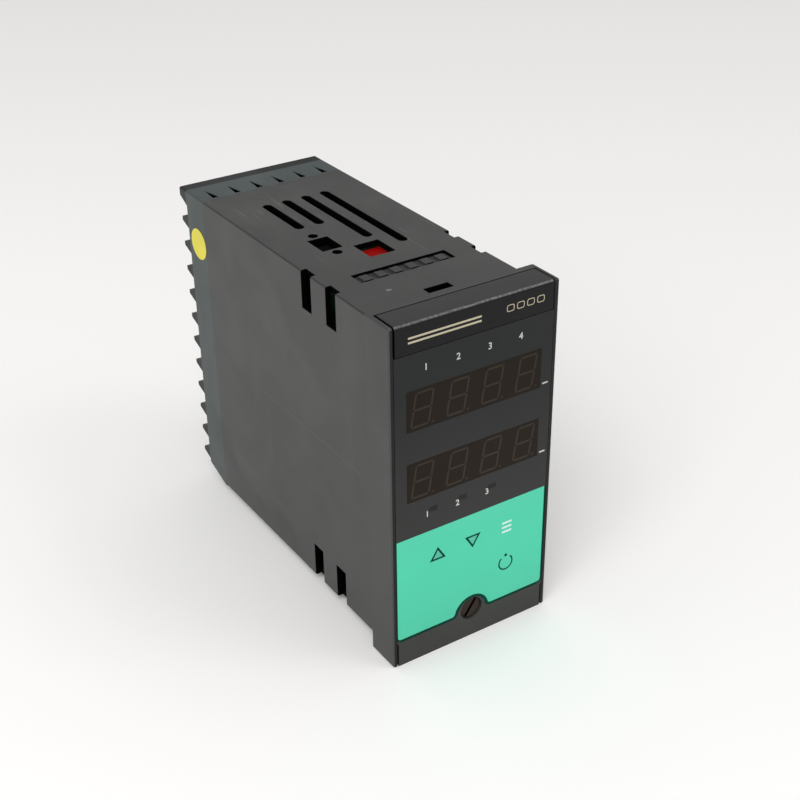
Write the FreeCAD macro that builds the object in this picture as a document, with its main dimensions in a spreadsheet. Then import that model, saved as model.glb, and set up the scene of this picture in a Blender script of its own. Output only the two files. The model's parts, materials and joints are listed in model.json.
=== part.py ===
import FreeCAD, Part
import os
import re
import Sketcher

# A panel controller with a 48 x 96 front: a moulded housing with a flange, a terminal block at
# the rear, and an instrument that draws out of the housing towards the front.
# Millimetres. The row stands on its flange: X is right, Y is towards the rear, Z is up, and the
# origin is the middle of the underside. Depths are counted back from the front face, and
# heights from the middle of the front.

SIZES = (
    # The outside
    ("front_width", 48, "flange and front, side to side"),
    ("front_height", 96, "flange and front, bottom to top"),
    ("overall_depth", 111, "front face to the tips of the rear teeth"),
    ("flange_depth", 10, "front face to the panel seat"),
    ("rim_depth", 2, "closed rim at the back of the flange"),
    ("cheek_wall", 1.0, "side walls of the flange"),
    ("sleeve_width", 44, "tube that passes through the panel"),
    ("sleeve_height", 91.8, "tube that passes through the panel"),
    ("sleeve_wall", 1.6, "wall of the tube"),
    ("edge_radius", 0.6, "rounding of the long outer edges"),
    # Clearances
    ("draw_gap", 0.2, "between the drawn-out front and the flange"),
    ("cap_gap", 0.6, "beside the name cap and the foot of the mask"),
    ("seam_gap", 0.15, "between the name cap and the mask"),
    ("move_gap", 0.3, "between pieces that move past each other"),
    ("fit_gap", 0.1, "round a piece that sits in a hole"),
    ("shaft_gap", 0.06, "round a turning shank"),
    # Openings in the top of the sleeve
    ("vent_width", 2.7, "cooling slot"),
    ("vent_pitch", 5.93, "side by side"),
    ("vent_left", 8.85, "first slot, left of the middle"),
    ("vent_margin", 11.5, "rear ends in front of the sleeve's rear end"),
    ("short_vent_front", 65, "depth of the front ends of the two short slots"),
    ("third_vent_front", 50.7, "depth of the front end of the third slot"),
    ("fourth_vent_front", 43.3, "depth of the front end of the longest slot"),
    ("port_inset", 4.7, "middle of the service port inside the left board"),
    ("port_depth", 53.1, "depth of its middle"),
    ("port_width", 5.9, "service port"),
    ("port_length", 8, "service port"),
    ("port_screw_radius", 1.35, "round hole at each end of the port"),
    ("port_screw_spacing", 12.2, "between the two round holes"),
    ("window_depth", 43.8, "depth of the middle of the large opening"),
    ("window_width", 7.4, "large opening"),
    ("window_length", 8.4, "large opening"),
    ("latch_depth", 15.5, "depth of the middle of the slot behind the flange"),
    ("latch_width", 7.1, "slot behind the flange"),
    ("latch_length", 2.7, "slot behind the flange"),
    ("recess_depth", 30.4, "depth of the middle of the sunk panel"),
    ("recess_width", 27.4, "sunk panel"),
    ("recess_length", 5.1, "sunk panel"),
    ("recess_sink", 0.8, "sunk panel below the top"),
    ("rib_width", 2.4, "raised bar in the sunk panel"),
    ("rib_length", 3.1, "raised bar"),
    ("rib_height", 0.6, "raised bar"),
    ("rib_pitch", 4.4, "raised bars"),
    ("rib_count", 6, "raised bars"),
    # Slots for mounting clamps in the sides of the sleeve
    ("clamp_slot_width", 4.7, "front to rear"),
    ("front_slot_depth", 28.6, "depth of the front pair"),
    ("rear_slot_depth", 40.3, "depth of the rear pair"),
    ("upper_slot_foot", 35.8, "above the middle"),
    ("lower_slot_head", 35.3, "below the middle"),
    # Guides and the screw boss inside the sleeve
    ("board_inset", 7.6, "middle of each side board inside the sleeve's side"),
    ("board_thickness", 1.6, "all circuit boards"),
    ("board_edge_gap", 0.4, "side boards under the sleeve's roof and above its floor"),
    ("guide_width", 1.2, "guide rib"),
    ("guide_height", 1.6, "guide rib"),
    ("guide_front", 13, "depth of the front ends of the guide ribs"),
    ("guide_overlap", 1.0, "side boards behind the guide ribs"),
    ("boss_width", 9, "block that holds the threaded insert"),
    ("boss_front", 13.5, "depth of its front"),
    ("boss_length", 10.5, "block that holds the threaded insert"),
    ("boss_rise", 4.3, "its top above the middle of the screw"),
    ("insert_radius", 2.3, "threaded insert"),
    ("insert_length", 9, "threaded insert"),
    # Rear terminal block
    ("block_depth", 14.5, "rear terminal block, with its teeth"),
    ("tooth_depth", 4, "teeth behind the block's wall"),
    ("tooth_height", 4.4, "tooth at its root"),
    ("tooth_tip", 1.2, "tooth at its tip"),
    ("tooth_rise", 0.6, "upper side of a tooth's root above its row"),
    ("tooth_fall", 1.7, "upper side of a tooth, from root to tip"),
    ("roof_tip", 2.4, "roof's own wedge at its tip"),
    ("tooth_width", 3.7, "tooth, side to side"),
    ("tooth_inset", 0.1, "teeth inside the block's sides"),
    ("row_pitch", 7.62, "terminals"),
    ("row_drop", 6.0, "first terminal below the top, and the least below the last"),
    ("well_radius", 2.9, "round screw well"),
    ("well_inset", 8.0, "screw inside the block's side"),
    ("well_depth", 7.3, "screw well"),
    ("channel_height", 3.1, "wire channel beside the well"),
    ("channel_wall", 1.0, "block's side beside the wire channels"),
    ("bevel_start", 1.0, "bottom bevel behind the block's front"),
    ("bevel_rise", 3.2, "bottom bevel at the block's rear"),
    ("spigot_depth", 2, "ring that enters the sleeve"),
    ("spigot_wall", 1.2, "ring that enters the sleeve"),
    ("notch_pitch", 6.9, "wedge notches across the top"),
    ("notch_count", 6, "wedge notches"),
    ("notch_front", 1.2, "blunt end behind the block's front"),
    ("notch_length", 6.3, "wedge notch"),
    ("notch_width", 1.8, "wedge notch at its blunt end"),
    ("notch_sink", 1.5, "wedge notch"),
    ("rear_vent_width", 1.8, "upright slot in the block's rear"),
    ("rear_vent_margin", 14.9, "upright slots from the block's top and bottom"),
    ("rear_vent_count", 3, "upright slots"),
    ("dot_radius", 4.5, "round sticker on the block's left side"),
    ("dot_thickness", 0.12, "round sticker"),
    ("dot_height", 32, "above the middle"),
    # Terminals
    ("plate_height", 2.8, "contact under the screw"),
    ("plate_thickness", 0.8, "contact"),
    ("plate_inset", 1.5, "outer end of the contact inside the block's side"),
    ("blade_height", 1.6, "blade"),
    ("blade_entry", 5.5, "blade inside its socket"),
    ("washer_radius", 2.6, "clamping washer"),
    ("washer_thickness", 0.8, "clamping washer"),
    ("clamp_screw_radius", 1.4, "terminal screw's shank"),
    ("clamp_head_radius", 2.4, "terminal screw's head"),
    ("clamp_head_height", 2.0, "terminal screw's head"),
    ("clamp_slot_cut", 0.7, "driver slot, wide"),
    # Front of the instrument
    ("cap_height", 7.7, "name cap"),
    ("cap_front_wall", 1.6, "name cap"),
    ("cap_wall", 1.3, "name cap"),
    ("cap_chamfer", 0.7, "upper front edge of the name cap"),
    ("mask_step", 0.1, "mask's foot behind the front face"),
    ("mask_rear", 2.4, "depth of the back of the mask's plate"),
    ("mask_wall", 1.4, "mask's side walls"),
    ("foot_height", 7, "narrower foot of the mask"),
    ("lug_width", 7, "lug that stands inside the name cap"),
    ("film_thickness", 0.25, "printed film"),
    ("film_foot", 39.6, "lower edge of the film, below the middle"),
    ("film_corner", 1.7, "film's lower corners"),
    ("film_lip", 1.7, "film's rounding beside the arch"),
    ("arch_radius", 4.4, "arch round the screw"),
    ("view_height", 10.9, "display window"),
    ("upper_view", 25.3, "middle of the upper window above the middle"),
    ("lower_view", 5.8, "middle of the lower window above the middle"),
    ("filter_lip", 0.8, "smoked pane's edge behind the mask"),
    ("filter_lip_depth", 0.7, "smoked pane's edge"),
    ("display_front", 3.4, "depth of the front of the display modules"),
    ("display_gap", 0.4, "display module inside the sleeve's side walls"),
    ("display_margin", 0.5, "display module beyond each side of its window"),
    ("display_border", 0.95, "display module above and below its window"),
    ("lamp_left", 13.8, "first lamp, left of the middle"),
    ("lamp_pitch", 9, "lamps"),
    ("lamp_width", 2.0, "lamp"),
    ("lamp_height", 1.1, "lamp"),
    ("output_lamp_row", 33.6, "upper lamps above the middle"),
    ("loop_lamp_row", 3.6, "lower lamps below the middle"),
    ("loop_lamp_shift", 1.6, "lower lamps to the right of their numbers"),
    ("lamp_front", 0.6, "depth of the front of the lamps"),
    # Keys
    ("key_radius", 3.8, "key"),
    ("key_pitch", 10.6, "keys, both ways"),
    ("key_row", 17.8, "upper keys below the middle"),
    ("key_front", 0.5, "depth of the keys' faces"),
    ("key_collar", 0.9, "key's collar beyond its face"),
    ("collar_thickness", 0.9, "key's collar"),
    ("key_travel", 0.3, "press of a key"),
    ("stem_radius", 1.75, "switch stem"),
    ("stem_end", 7.3, "depth of the stem's rear end"),
    ("switch_size", 6, "key switch, each way"),
    ("switch_front", 6.7, "depth of the switch's front"),
    # Display board
    ("display_board_front", 10.4, "depth of the display board's front"),
    ("display_board_side", 0.8, "display board inside the sleeve's side walls"),
    ("display_board_roof", 2.3, "display board under the sleeve's roof"),
    ("display_board_border", 1.6, "display board below the lowest key switch"),
    ("post_radius", 1.5, "post on the mask"),
    ("post_inset", 1.6, "posts inside the display board's sides"),
    ("post_drop", 3.5, "upper posts below the display board's upper edge"),
    ("pilot_radius", 0.8, "board screw's shank"),
    ("board_screw_length", 6, "board screw"),
    ("board_screw_head", 1.7, "board screw's head, radius"),
    ("board_screw_crown", 1.2, "board screw's head, high"),
    # Retaining screw
    ("screw_drop", 39.3, "below the middle"),
    ("screw_radius", 1.5, "shank"),
    ("screw_head_radius", 3.0, "head"),
    ("screw_head_front", 0.6, "depth of the head's face"),
    ("screw_head_height", 1.8, "head"),
    ("screw_tip", 22, "depth of the shank's end"),
    ("screw_slot_width", 0.9, "driver slot"),
    ("screw_slot_depth", 1.1, "driver slot"),
    ("screw_slot_angle", 55, "driver slot above the level, degrees"),
    ("screw_boss_radius", 4.9, "boss on the back of the mask"),
    ("screw_boss_rear", 5.2, "depth of the boss's back"),
    ("clip_radius", 2.8, "clip that keeps the screw in the mask"),
    ("clip_thickness", 0.8, "clip"),
    # Boards and parts behind the front
    ("socket_width", 4, "rear socket, side to side"),
    ("socket_length", 8, "rear socket"),
    ("socket_rear_gap", 2.5, "between the rear sockets and the terminal block's ring"),
    ("socket_overhang", 3, "rear sockets behind the side boards"),
    ("socket_gap", 0.4, "round each blade"),
    ("socket_margin", 2.4, "socket beyond its end blades"),
    ("header_size", 2.5, "header between two boards"),
    ("header_height", 40, "header"),
    ("option_board_foot", 37, "small upper board above the middle"),
    ("option_board_thickness", 1.2, "small upper board"),
    ("option_board_lead", 10.8, "small upper board in front of the large opening's middle"),
    ("option_board_tail", 8.9, "small upper board behind the service port's middle"),
    ("plug_gap", 0.5, "red plug under the sleeve's roof"),
    ("red_plug_aside", 0.45, "red plug, right of the large opening's middle"),
    ("red_plug_back", 0.7, "red plug, behind the large opening's middle"),
    ("red_plug_width", 7.3, "red plug"),
    ("red_plug_length", 7, "red plug"),
    ("relay_tall", 15.3, "relay, off the board"),
    ("relay_long", 20, "relay, front to rear"),
    ("relay_wide", 10, "relay"),
    ("relay_pitch", 11.4, "relays"),
    ("relay_space", 2, "relays in front of the rear socket"),
    ("relay_foot", 31, "lowest relay's underside below the middle"),
    ("core_size", 18, "transformer core, square"),
    ("core_tall", 16, "transformer, off the board"),
    ("core_front", 38, "depth"),
    ("core_foot", 16, "transformer's underside above the middle"),
    ("core_leg", 3.2, "transformer core's limbs"),
    ("coil_bulge", 1.6, "winding beyond the core"),
    ("tall_can_radius", 6.3, "large capacitor"),
    ("tall_can_length", 17, "large capacitor"),
    ("small_can_radius", 4, "small capacitor"),
    ("small_can_length", 11, "small capacitor"),
    ("can_depth", 26, "depth of the capacitors' middles"),
    ("tall_can_drop", 10, "large capacitor below the middle"),
    ("small_can_rise", 8, "small capacitor above the middle"),
    ("chip_size", 14, "processor, square"),
    ("chip_height", 1.4, "processor, off the board"),
    ("chip_front", 28, "depth"),
    ("chip_foot", 2, "above the middle"),
    ("small_chip_size", 9, "converter chip, square"),
    ("small_chip_space", 13, "converter chip in front of the rear socket"),
    ("spacer_lead", 12, "bar in front of the side boards' rear edges"),
    ("spacer_size", 4, "bar between the side boards"),
    ("spacer_foot", 26, "above the middle"),
)

doc = FreeCAD.newDocument("panel_controller")
sheet = doc.addObject("Spreadsheet::Sheet", "Sizes")
for row, (alias, size, meaning) in enumerate(SIZES, start=1):
    sheet.set(f"A{row}", alias)
    sheet.set(f"B{row}", str(size))
    sheet.set(f"C{row}", meaning)
    sheet.setAlias(f"B{row}", alias)
doc.recompute()


# Every name in an expression is a cell of the sheet


def cells(text):
    return re.sub(r"\b[a-z][a-z_]+\b(?!\()", lambda word: "Sizes." + word.group(0), text)


def number(text):
    return float(sheet.evalExpression(cells(text)))


def bind(thing, path, text):
    thing.setExpression(path, cells(text))


def deep(depth):
    """The Y of a depth behind the front face."""
    return f"(({depth}) - overall_depth / 2)"


def high(height):
    """The Z of a height above the middle of the front."""
    return f"(({height}) + front_height / 2)"


# Places that several pieces share

TRAY_DEPTH = "(flange_depth - rim_depth - draw_gap)"
BAY_HALF = "(front_width / 2 - cheek_wall)"
MASK_HALF = f"({BAY_HALF} - draw_gap)"
CAP_HALF = f"({BAY_HALF} - cap_gap)"
CAP_FOOT = "(front_height / 2 - cap_height)"
MASK_HEAD = f"({CAP_FOOT} - seam_gap)"
HALF_WIDTH = "(sleeve_width / 2)"
HALF_HEIGHT = "(sleeve_height / 2)"
INNER_HALF = f"({HALF_WIDTH} - sleeve_wall)"
INNER_HEIGHT = f"({HALF_HEIGHT} - sleeve_wall)"
BLOCK_FRONT = "(overall_depth - block_depth)"
BLOCK_REAR = "(overall_depth - tooth_depth)"
WELL_FLOOR = f"({BLOCK_REAR} - well_depth)"
FIRST_ROW = f"({HALF_HEIGHT} - row_drop)"
ROW_COUNT = "(floor((sleeve_height - 2 * row_drop) / row_pitch) + 1)"
WELL_MIDDLE = f"({HALF_WIDTH} - well_inset)"
BOARD_MIDDLE = f"({HALF_WIDTH} - board_inset)"
BOARD_INNER = f"({BOARD_MIDDLE} - board_thickness / 2)"
BOARD_FRONT = "(display_board_front + board_thickness)"
SOCKET_REAR = f"({BLOCK_FRONT} - spigot_depth - socket_rear_gap)"
SOCKET_FRONT = f"({SOCKET_REAR} - socket_length)"
BOARD_REAR = f"({SOCKET_REAR} - socket_overhang)"
BLADE_TIP = f"({SOCKET_REAR} - blade_entry)"
BLADE_MIDDLE = f"({BOARD_INNER} - socket_width / 2)"
LOWEST_KEY = "(key_row + key_pitch)"
DISPLAY_BOARD_HALF = f"({INNER_HALF} - display_board_side)"
DISPLAY_BOARD_HEAD = f"({INNER_HEIGHT} - display_board_roof)"
DISPLAY_BOARD_FOOT = f"({LOWEST_KEY} + switch_size / 2 + display_board_border)"
POST_MIDDLE = f"({DISPLAY_BOARD_HALF} - post_inset)"
DISPLAY_HALF = f"({INNER_HALF} - display_gap)"
VIEW_HALF = f"({DISPLAY_HALF} - display_margin)"
UPPER_POST = f"({DISPLAY_BOARD_HEAD} - post_drop)"
LOWER_POST = "(key_row + key_pitch / 2)"
PORT_MIDDLE = f"(-{BOARD_INNER} + port_inset)"
PLUG_HEAD = f"({INNER_HEIGHT} - plug_gap)"
SIDES = (("left", "-1"), ("right", "1"))
KEYS = (
    ("raise", "-key_pitch", "-key_row"),
    ("lower", "0 * key_pitch", "-key_row"),
    ("menu", "key_pitch", "-key_row"),
    ("mode", "key_pitch", f"-{LOWEST_KEY}"),
)
POSTS = (
    (f"-{POST_MIDDLE}", UPPER_POST),
    (POST_MIDDLE, UPPER_POST),
    (f"-{POST_MIDDLE}", f"-{LOWER_POST}"),
    (POST_MIDDLE, f"-{LOWER_POST}"),
)
VIEWS = (("upper", "upper_view"), ("lower", "lower_view"))

nodes = []


def keep(thing, label):
    """Names a finished sub-part, which is written to a file of that name."""
    thing.Label = label
    nodes.append(thing)
    return thing


# Sketches


def new_body(label):
    body = doc.addObject("PartDesign::Body", label)
    body.AllowCompound = True
    return keep(body, label)


def origin_feature(body, role):
    return next(part for part in body.Origin.OriginFeatures if part.Role == role)


def sketch_on(body, role, offset, label):
    """A sketch on one of the body's origin planes, moved along the plane's normal."""
    sketch = body.newObject("Sketcher::SketchObject", f"{body.Name}_{label}_sketch")
    sketch.AttachmentSupport = [(origin_feature(body, role), "")]
    sketch.MapMode = "FlatFace"
    bind(sketch, "AttachmentOffset.Base.z", offset)
    return sketch


def face_sketch(body, depth, label):
    """Looks at the front: X to the right, Z up, at a depth."""
    return sketch_on(body, "XZ_Plane", f"overall_depth / 2 - ({depth})", label)


def top_sketch(body, height, label):
    """Looks down: X to the right, Y to the rear, at a height."""
    return sketch_on(body, "XY_Plane", high(height), label)


def side_sketch(body, across, label):
    """Looks from the right: Y to the rear, Z up, at a distance from the middle plane."""
    return sketch_on(body, "YZ_Plane", across, label)


def tie(sketch, kind, edge, end, text):
    """Holds one coordinate of a point to the sheet."""
    constraint = Sketcher.Constraint(kind, -1, 1, edge, end, number(text))
    index = sketch.addConstraint(constraint)
    bind(sketch, f"Constraints[{index}]", text)


def tie_radius(sketch, edge, text):
    index = sketch.addConstraint(Sketcher.Constraint("Radius", edge, number(text)))
    bind(sketch, f"Constraints[{index}]", text)


def outline(sketch, points):
    """A closed outline of straight edges through points given as expressions."""
    corners = [FreeCAD.Vector(number(u), number(v), 0) for u, v in points]
    first = sketch.GeometryCount
    count = len(corners)
    for index in range(count):
        edge = Part.LineSegment(corners[index], corners[(index + 1) % count])
        sketch.addGeometry(edge, False)
    for index in range(count):
        follower = first + (index + 1) % count
        sketch.addConstraint(Sketcher.Constraint("Coincident", first + index, 2, follower, 1))
    for index, (u, v) in enumerate(points):
        tie(sketch, "DistanceX", first + index, 1, u)
        tie(sketch, "DistanceY", first + index, 1, v)


def rectangle(sketch, u_low, u_high, v_low, v_high):
    outline(sketch, ((u_low, v_low), (u_high, v_low), (u_high, v_high), (u_low, v_high)))


def centred(sketch, u, v, width, height):
    rectangle(
        sketch,
        f"{u} - {width} / 2",
        f"{u} + {width} / 2",
        f"{v} - {height} / 2",
        f"{v} + {height} / 2",
    )


def circle(sketch, u, v, radius):
    centre = FreeCAD.Vector(number(u), number(v), 0)
    shape = Part.Circle(centre, FreeCAD.Vector(0, 0, 1), number(radius))
    edge = sketch.addGeometry(shape, False)
    tie_radius(sketch, edge, radius)
    tie(sketch, "DistanceX", edge, 3, u)
    tie(sketch, "DistanceY", edge, 3, v)


def round_slot(sketch, u, v_low, v_high, radius):
    """A slot along the sketch's second direction, with a half-round at each end."""
    quarter = 1.5707963267948966
    up = FreeCAD.Vector(0, 0, 1)
    size = number(radius)
    low = FreeCAD.Vector(number(u), number(v_low), 0)
    top = FreeCAD.Vector(number(u), number(v_high), 0)
    shift = FreeCAD.Vector(size, 0, 0)
    foot = sketch.addGeometry(
        Part.ArcOfCircle(Part.Circle(low, up, size), 2 * quarter, 4 * quarter), False
    )
    right = sketch.addGeometry(Part.LineSegment(low + shift, top + shift), False)
    head = sketch.addGeometry(
        Part.ArcOfCircle(Part.Circle(top, up, size), 0, 2 * quarter), False
    )
    left = sketch.addGeometry(Part.LineSegment(top - shift, low - shift), False)
    for one, one_end, other, other_end in (
        (foot, 2, right, 1),
        (right, 2, head, 1),
        (head, 2, left, 1),
        (left, 2, foot, 1),
    ):
        sketch.addConstraint(Sketcher.Constraint("Tangent", one, one_end, other, other_end))
    tie_radius(sketch, foot, radius)
    for arc, v in ((foot, v_low), (head, v_high)):
        tie(sketch, "DistanceX", arc, 3, u)
        tie(sketch, "DistanceY", arc, 3, v)


# Features. A face sketch's normal points to the front, a top sketch's up, a side sketch's right.


def pad(sketch, length, label, against=False):
    body = sketch.getParentGeoFeatureGroup()
    feature = body.newObject("PartDesign::Pad", f"{body.Name}_{label}")
    feature.Profile = sketch
    feature.Reversed = against
    bind(feature, "Length", length)
    return feature


def pocket(sketch, length, label, along=False):
    body = sketch.getParentGeoFeatureGroup()
    feature = body.newObject("PartDesign::Pocket", f"{body.Name}_{label}")
    feature.Profile = sketch
    feature.Reversed = along
    bind(feature, "Length", length)
    return feature


def repeat(originals, role, span, count, label, backwards=False):
    """Repeats features along one of the body's origin axes, from the first to a full span."""
    body = originals[0].getParentGeoFeatureGroup()
    feature = body.newObject("PartDesign::LinearPattern", f"{body.Name}_{label}")
    feature.Originals = originals
    feature.Direction = (origin_feature(body, role), [""])
    feature.Reversed = backwards
    bind(feature, "Length", span)
    bind(feature, "Occurrences", count)
    body.Tip = feature
    return feature


def repeat_rows(originals, label):
    return repeat(originals, "Z_Axis", f"({ROW_COUNT} - 1) * row_pitch", ROW_COUNT, label, True)


def reflect(originals, label):
    """Copies features to the other side of the middle plane."""
    body = originals[0].getParentGeoFeatureGroup()
    feature = body.newObject("PartDesign::Mirrored", f"{body.Name}_{label}")
    feature.Originals = originals
    feature.MirrorPlane = (origin_feature(body, "YZ_Plane"), [""])
    body.Tip = feature
    return feature


def soften(feature, kind, size_name, size, label, chosen):
    """Rounds or bevels the edges of a feature that a test picks by their middle and direction."""
    doc.recompute()
    body = feature.getParentGeoFeatureGroup()
    names = []
    for index, edge in enumerate(feature.Shape.Edges, start=1):
        if edge.Curve.TypeId != "Part::GeomLine":
            continue
        ends = [vertex.Point for vertex in edge.Vertexes]
        middle = (ends[0] + ends[-1]) * 0.5
        direction = (ends[-1] - ends[0]).normalize()
        if chosen(middle, direction):
            names.append(f"Edge{index}")
    softened = body.newObject(f"PartDesign::{kind}", f"{body.Name}_{label}")
    softened.Base = (feature, names)
    bind(softened, size_name, size)
    return softened


def near(one, other):
    return abs(one - other) < 0.001


# Simple solids


def block(label, x, y, z):
    """A box between pairs of expressions."""
    box = doc.addObject("Part::Box", label)
    for size, (low, top) in (("Length", x), ("Width", y), ("Height", z)):
        bind(box, size, f"({top}) - ({low})")
    for axis, (low, _) in zip("xyz", (x, y, z)):
        bind(box, f"Placement.Base.{axis}", low)
    return box


def rod(label, direction, start, length, radius):
    """A cylinder from a point along +X or +Y."""
    turned = {
        "x": FreeCAD.Rotation(FreeCAD.Vector(0, 1, 0), 90),
        "y": FreeCAD.Rotation(FreeCAD.Vector(1, 0, 0), -90),
    }
    shape = doc.addObject("Part::Cylinder", label)
    shape.Placement.Rotation = turned[direction]
    bind(shape, "Radius", radius)
    bind(shape, "Height", length)
    for axis, place in zip("xyz", start):
        bind(shape, f"Placement.Base.{axis}", place)
    return shape


def joined(label, shapes):
    fused = doc.addObject("Part::MultiFuse", label)
    fused.Shapes = shapes
    return fused


def cut(label, base, tool):
    result = doc.addObject("Part::Cut", label)
    result.Base = base
    result.Tool = tool
    return result


# Housing: flange, sleeve, guides and the screw boss, moulded in one piece


def housing():
    body = new_body("housing")
    sketch = face_sketch(body, "0", "flange")
    centred(sketch, "0", high("0"), "front_width", "front_height")
    pad(sketch, "flange_depth", "flange", against=True)
    sketch = face_sketch(body, "0", "sleeve")
    centred(sketch, "0", high("0"), "sleeve_width", "sleeve_height")
    sleeve = pad(sketch, BLOCK_FRONT, "sleeve", against=True)

    half_front = number("front_width / 2")
    half_sleeve = number(HALF_WIDTH)
    front = number(deep("0"))

    def outer_edge(middle, direction):
        lengthwise = abs(direction.y) > 0.9
        along = near(abs(middle.x), half_front) or near(abs(middle.x), half_sleeve)
        return (lengthwise and along) or near(middle.y, front)

    soften(sleeve, "Fillet", "Radius", "edge_radius", "outer_edges", outer_edge)

    sketch = face_sketch(body, "0", "bay")
    centred(sketch, "0", high("0"), f"2 * {BAY_HALF}", "2 * front_height")
    pocket(sketch, "flange_depth - rim_depth", "bay")
    sketch = face_sketch(body, "0", "cavity")
    centred(sketch, "0", high("0"), f"2 * {INNER_HALF}", f"2 * {INNER_HEIGHT}")
    pocket(sketch, BLOCK_FRONT, "cavity")

    # Ribs above and below each side board, a running clearance either side of it
    sketch = face_sketch(body, "guide_front", "guides")
    reach = "(board_thickness / 2 + move_gap + guide_width / 2)"
    for _, side in SIDES:
        for shift in ("-1", "1"):
            across = f"({side} * {BOARD_MIDDLE} + {shift} * {reach})"
            for end in ("-1", "1"):
                edge = f"({end} * ({INNER_HEIGHT} - (guide_height - sleeve_wall / 2) / 2))"
                centred(sketch, across, high(edge), "guide_width", "guide_height + sleeve_wall / 2")
    pad(sketch, f"{BOARD_REAR} - guide_overlap - guide_front", "guides", against=True)

    sketch = face_sketch(body, "boss_front", "boss")
    rectangle(
        sketch,
        "-boss_width / 2",
        "boss_width / 2",
        high(f"-{HALF_HEIGHT} + sleeve_wall / 2"),
        high("boss_rise - screw_drop"),
    )
    pad(sketch, "boss_length", "boss", against=True)
    sketch = face_sketch(body, "boss_front", "insert_hole")
    circle(sketch, "0", high("-screw_drop"), "insert_radius")
    pocket(sketch, "insert_length", "insert_hole")

    top_openings(body)
    clamp_slots(body)


def top_openings(body):
    """Cooling slots, service port, large opening, latch slot and the sunk panel with its bars."""
    sketch = top_sketch(body, HALF_HEIGHT, "openings")
    fronts = ("short_vent_front", "short_vent_front", "third_vent_front", "fourth_vent_front")
    for index, front in enumerate(fronts):
        round_slot(
            sketch,
            f"-vent_left + {index} * vent_pitch",
            deep(f"{front} + vent_width / 2"),
            deep(f"{BLOCK_FRONT} - vent_margin - vent_width / 2"),
            "vent_width / 2",
        )
    centred(sketch, PORT_MIDDLE, deep("port_depth"), "port_width", "port_length")
    for end in ("-1", "1"):
        spot = deep(f"port_depth + {end} * port_screw_spacing / 2")
        circle(sketch, PORT_MIDDLE, spot, "port_screw_radius")
    centred(sketch, "0", deep("window_depth"), "window_width", "window_length")
    centred(sketch, "0", deep("latch_depth"), "latch_width", "latch_length")
    pocket(sketch, "sleeve_wall + fit_gap", "openings")

    sketch = top_sketch(body, HALF_HEIGHT, "recess")
    centred(sketch, "0", deep("recess_depth"), "recess_width", "recess_length")
    pocket(sketch, "recess_sink", "recess")
    sketch = top_sketch(body, f"{HALF_HEIGHT} - recess_sink", "rib")
    first = "-(rib_count - 1) * rib_pitch / 2"
    centred(sketch, first, deep("recess_depth"), "rib_width", "rib_length")
    bar = pad(sketch, "rib_height", "rib")
    repeat([bar], "X_Axis", "(rib_count - 1) * rib_pitch", "rib_count", "ribs")


def clamp_slots(body):
    """Slots through each side wall, open at the sleeve's upper and lower edges."""
    sketch = side_sketch(body, HALF_WIDTH, "clamp_slots")
    for middle in ("front_slot_depth", "rear_slot_depth"):
        low = deep(f"{middle} - clamp_slot_width / 2")
        top = deep(f"{middle} + clamp_slot_width / 2")
        rectangle(sketch, low, top, high("upper_slot_foot"), high(f"{HALF_HEIGHT} + 1"))
        rectangle(sketch, low, top, high(f"-{HALF_HEIGHT} - 1"), high("-lower_slot_head"))
    slots = pocket(sketch, "sleeve_wall + fit_gap", "clamp_slots")
    reflect([slots], "clamp_slots_left")


# Rear terminal block


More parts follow.
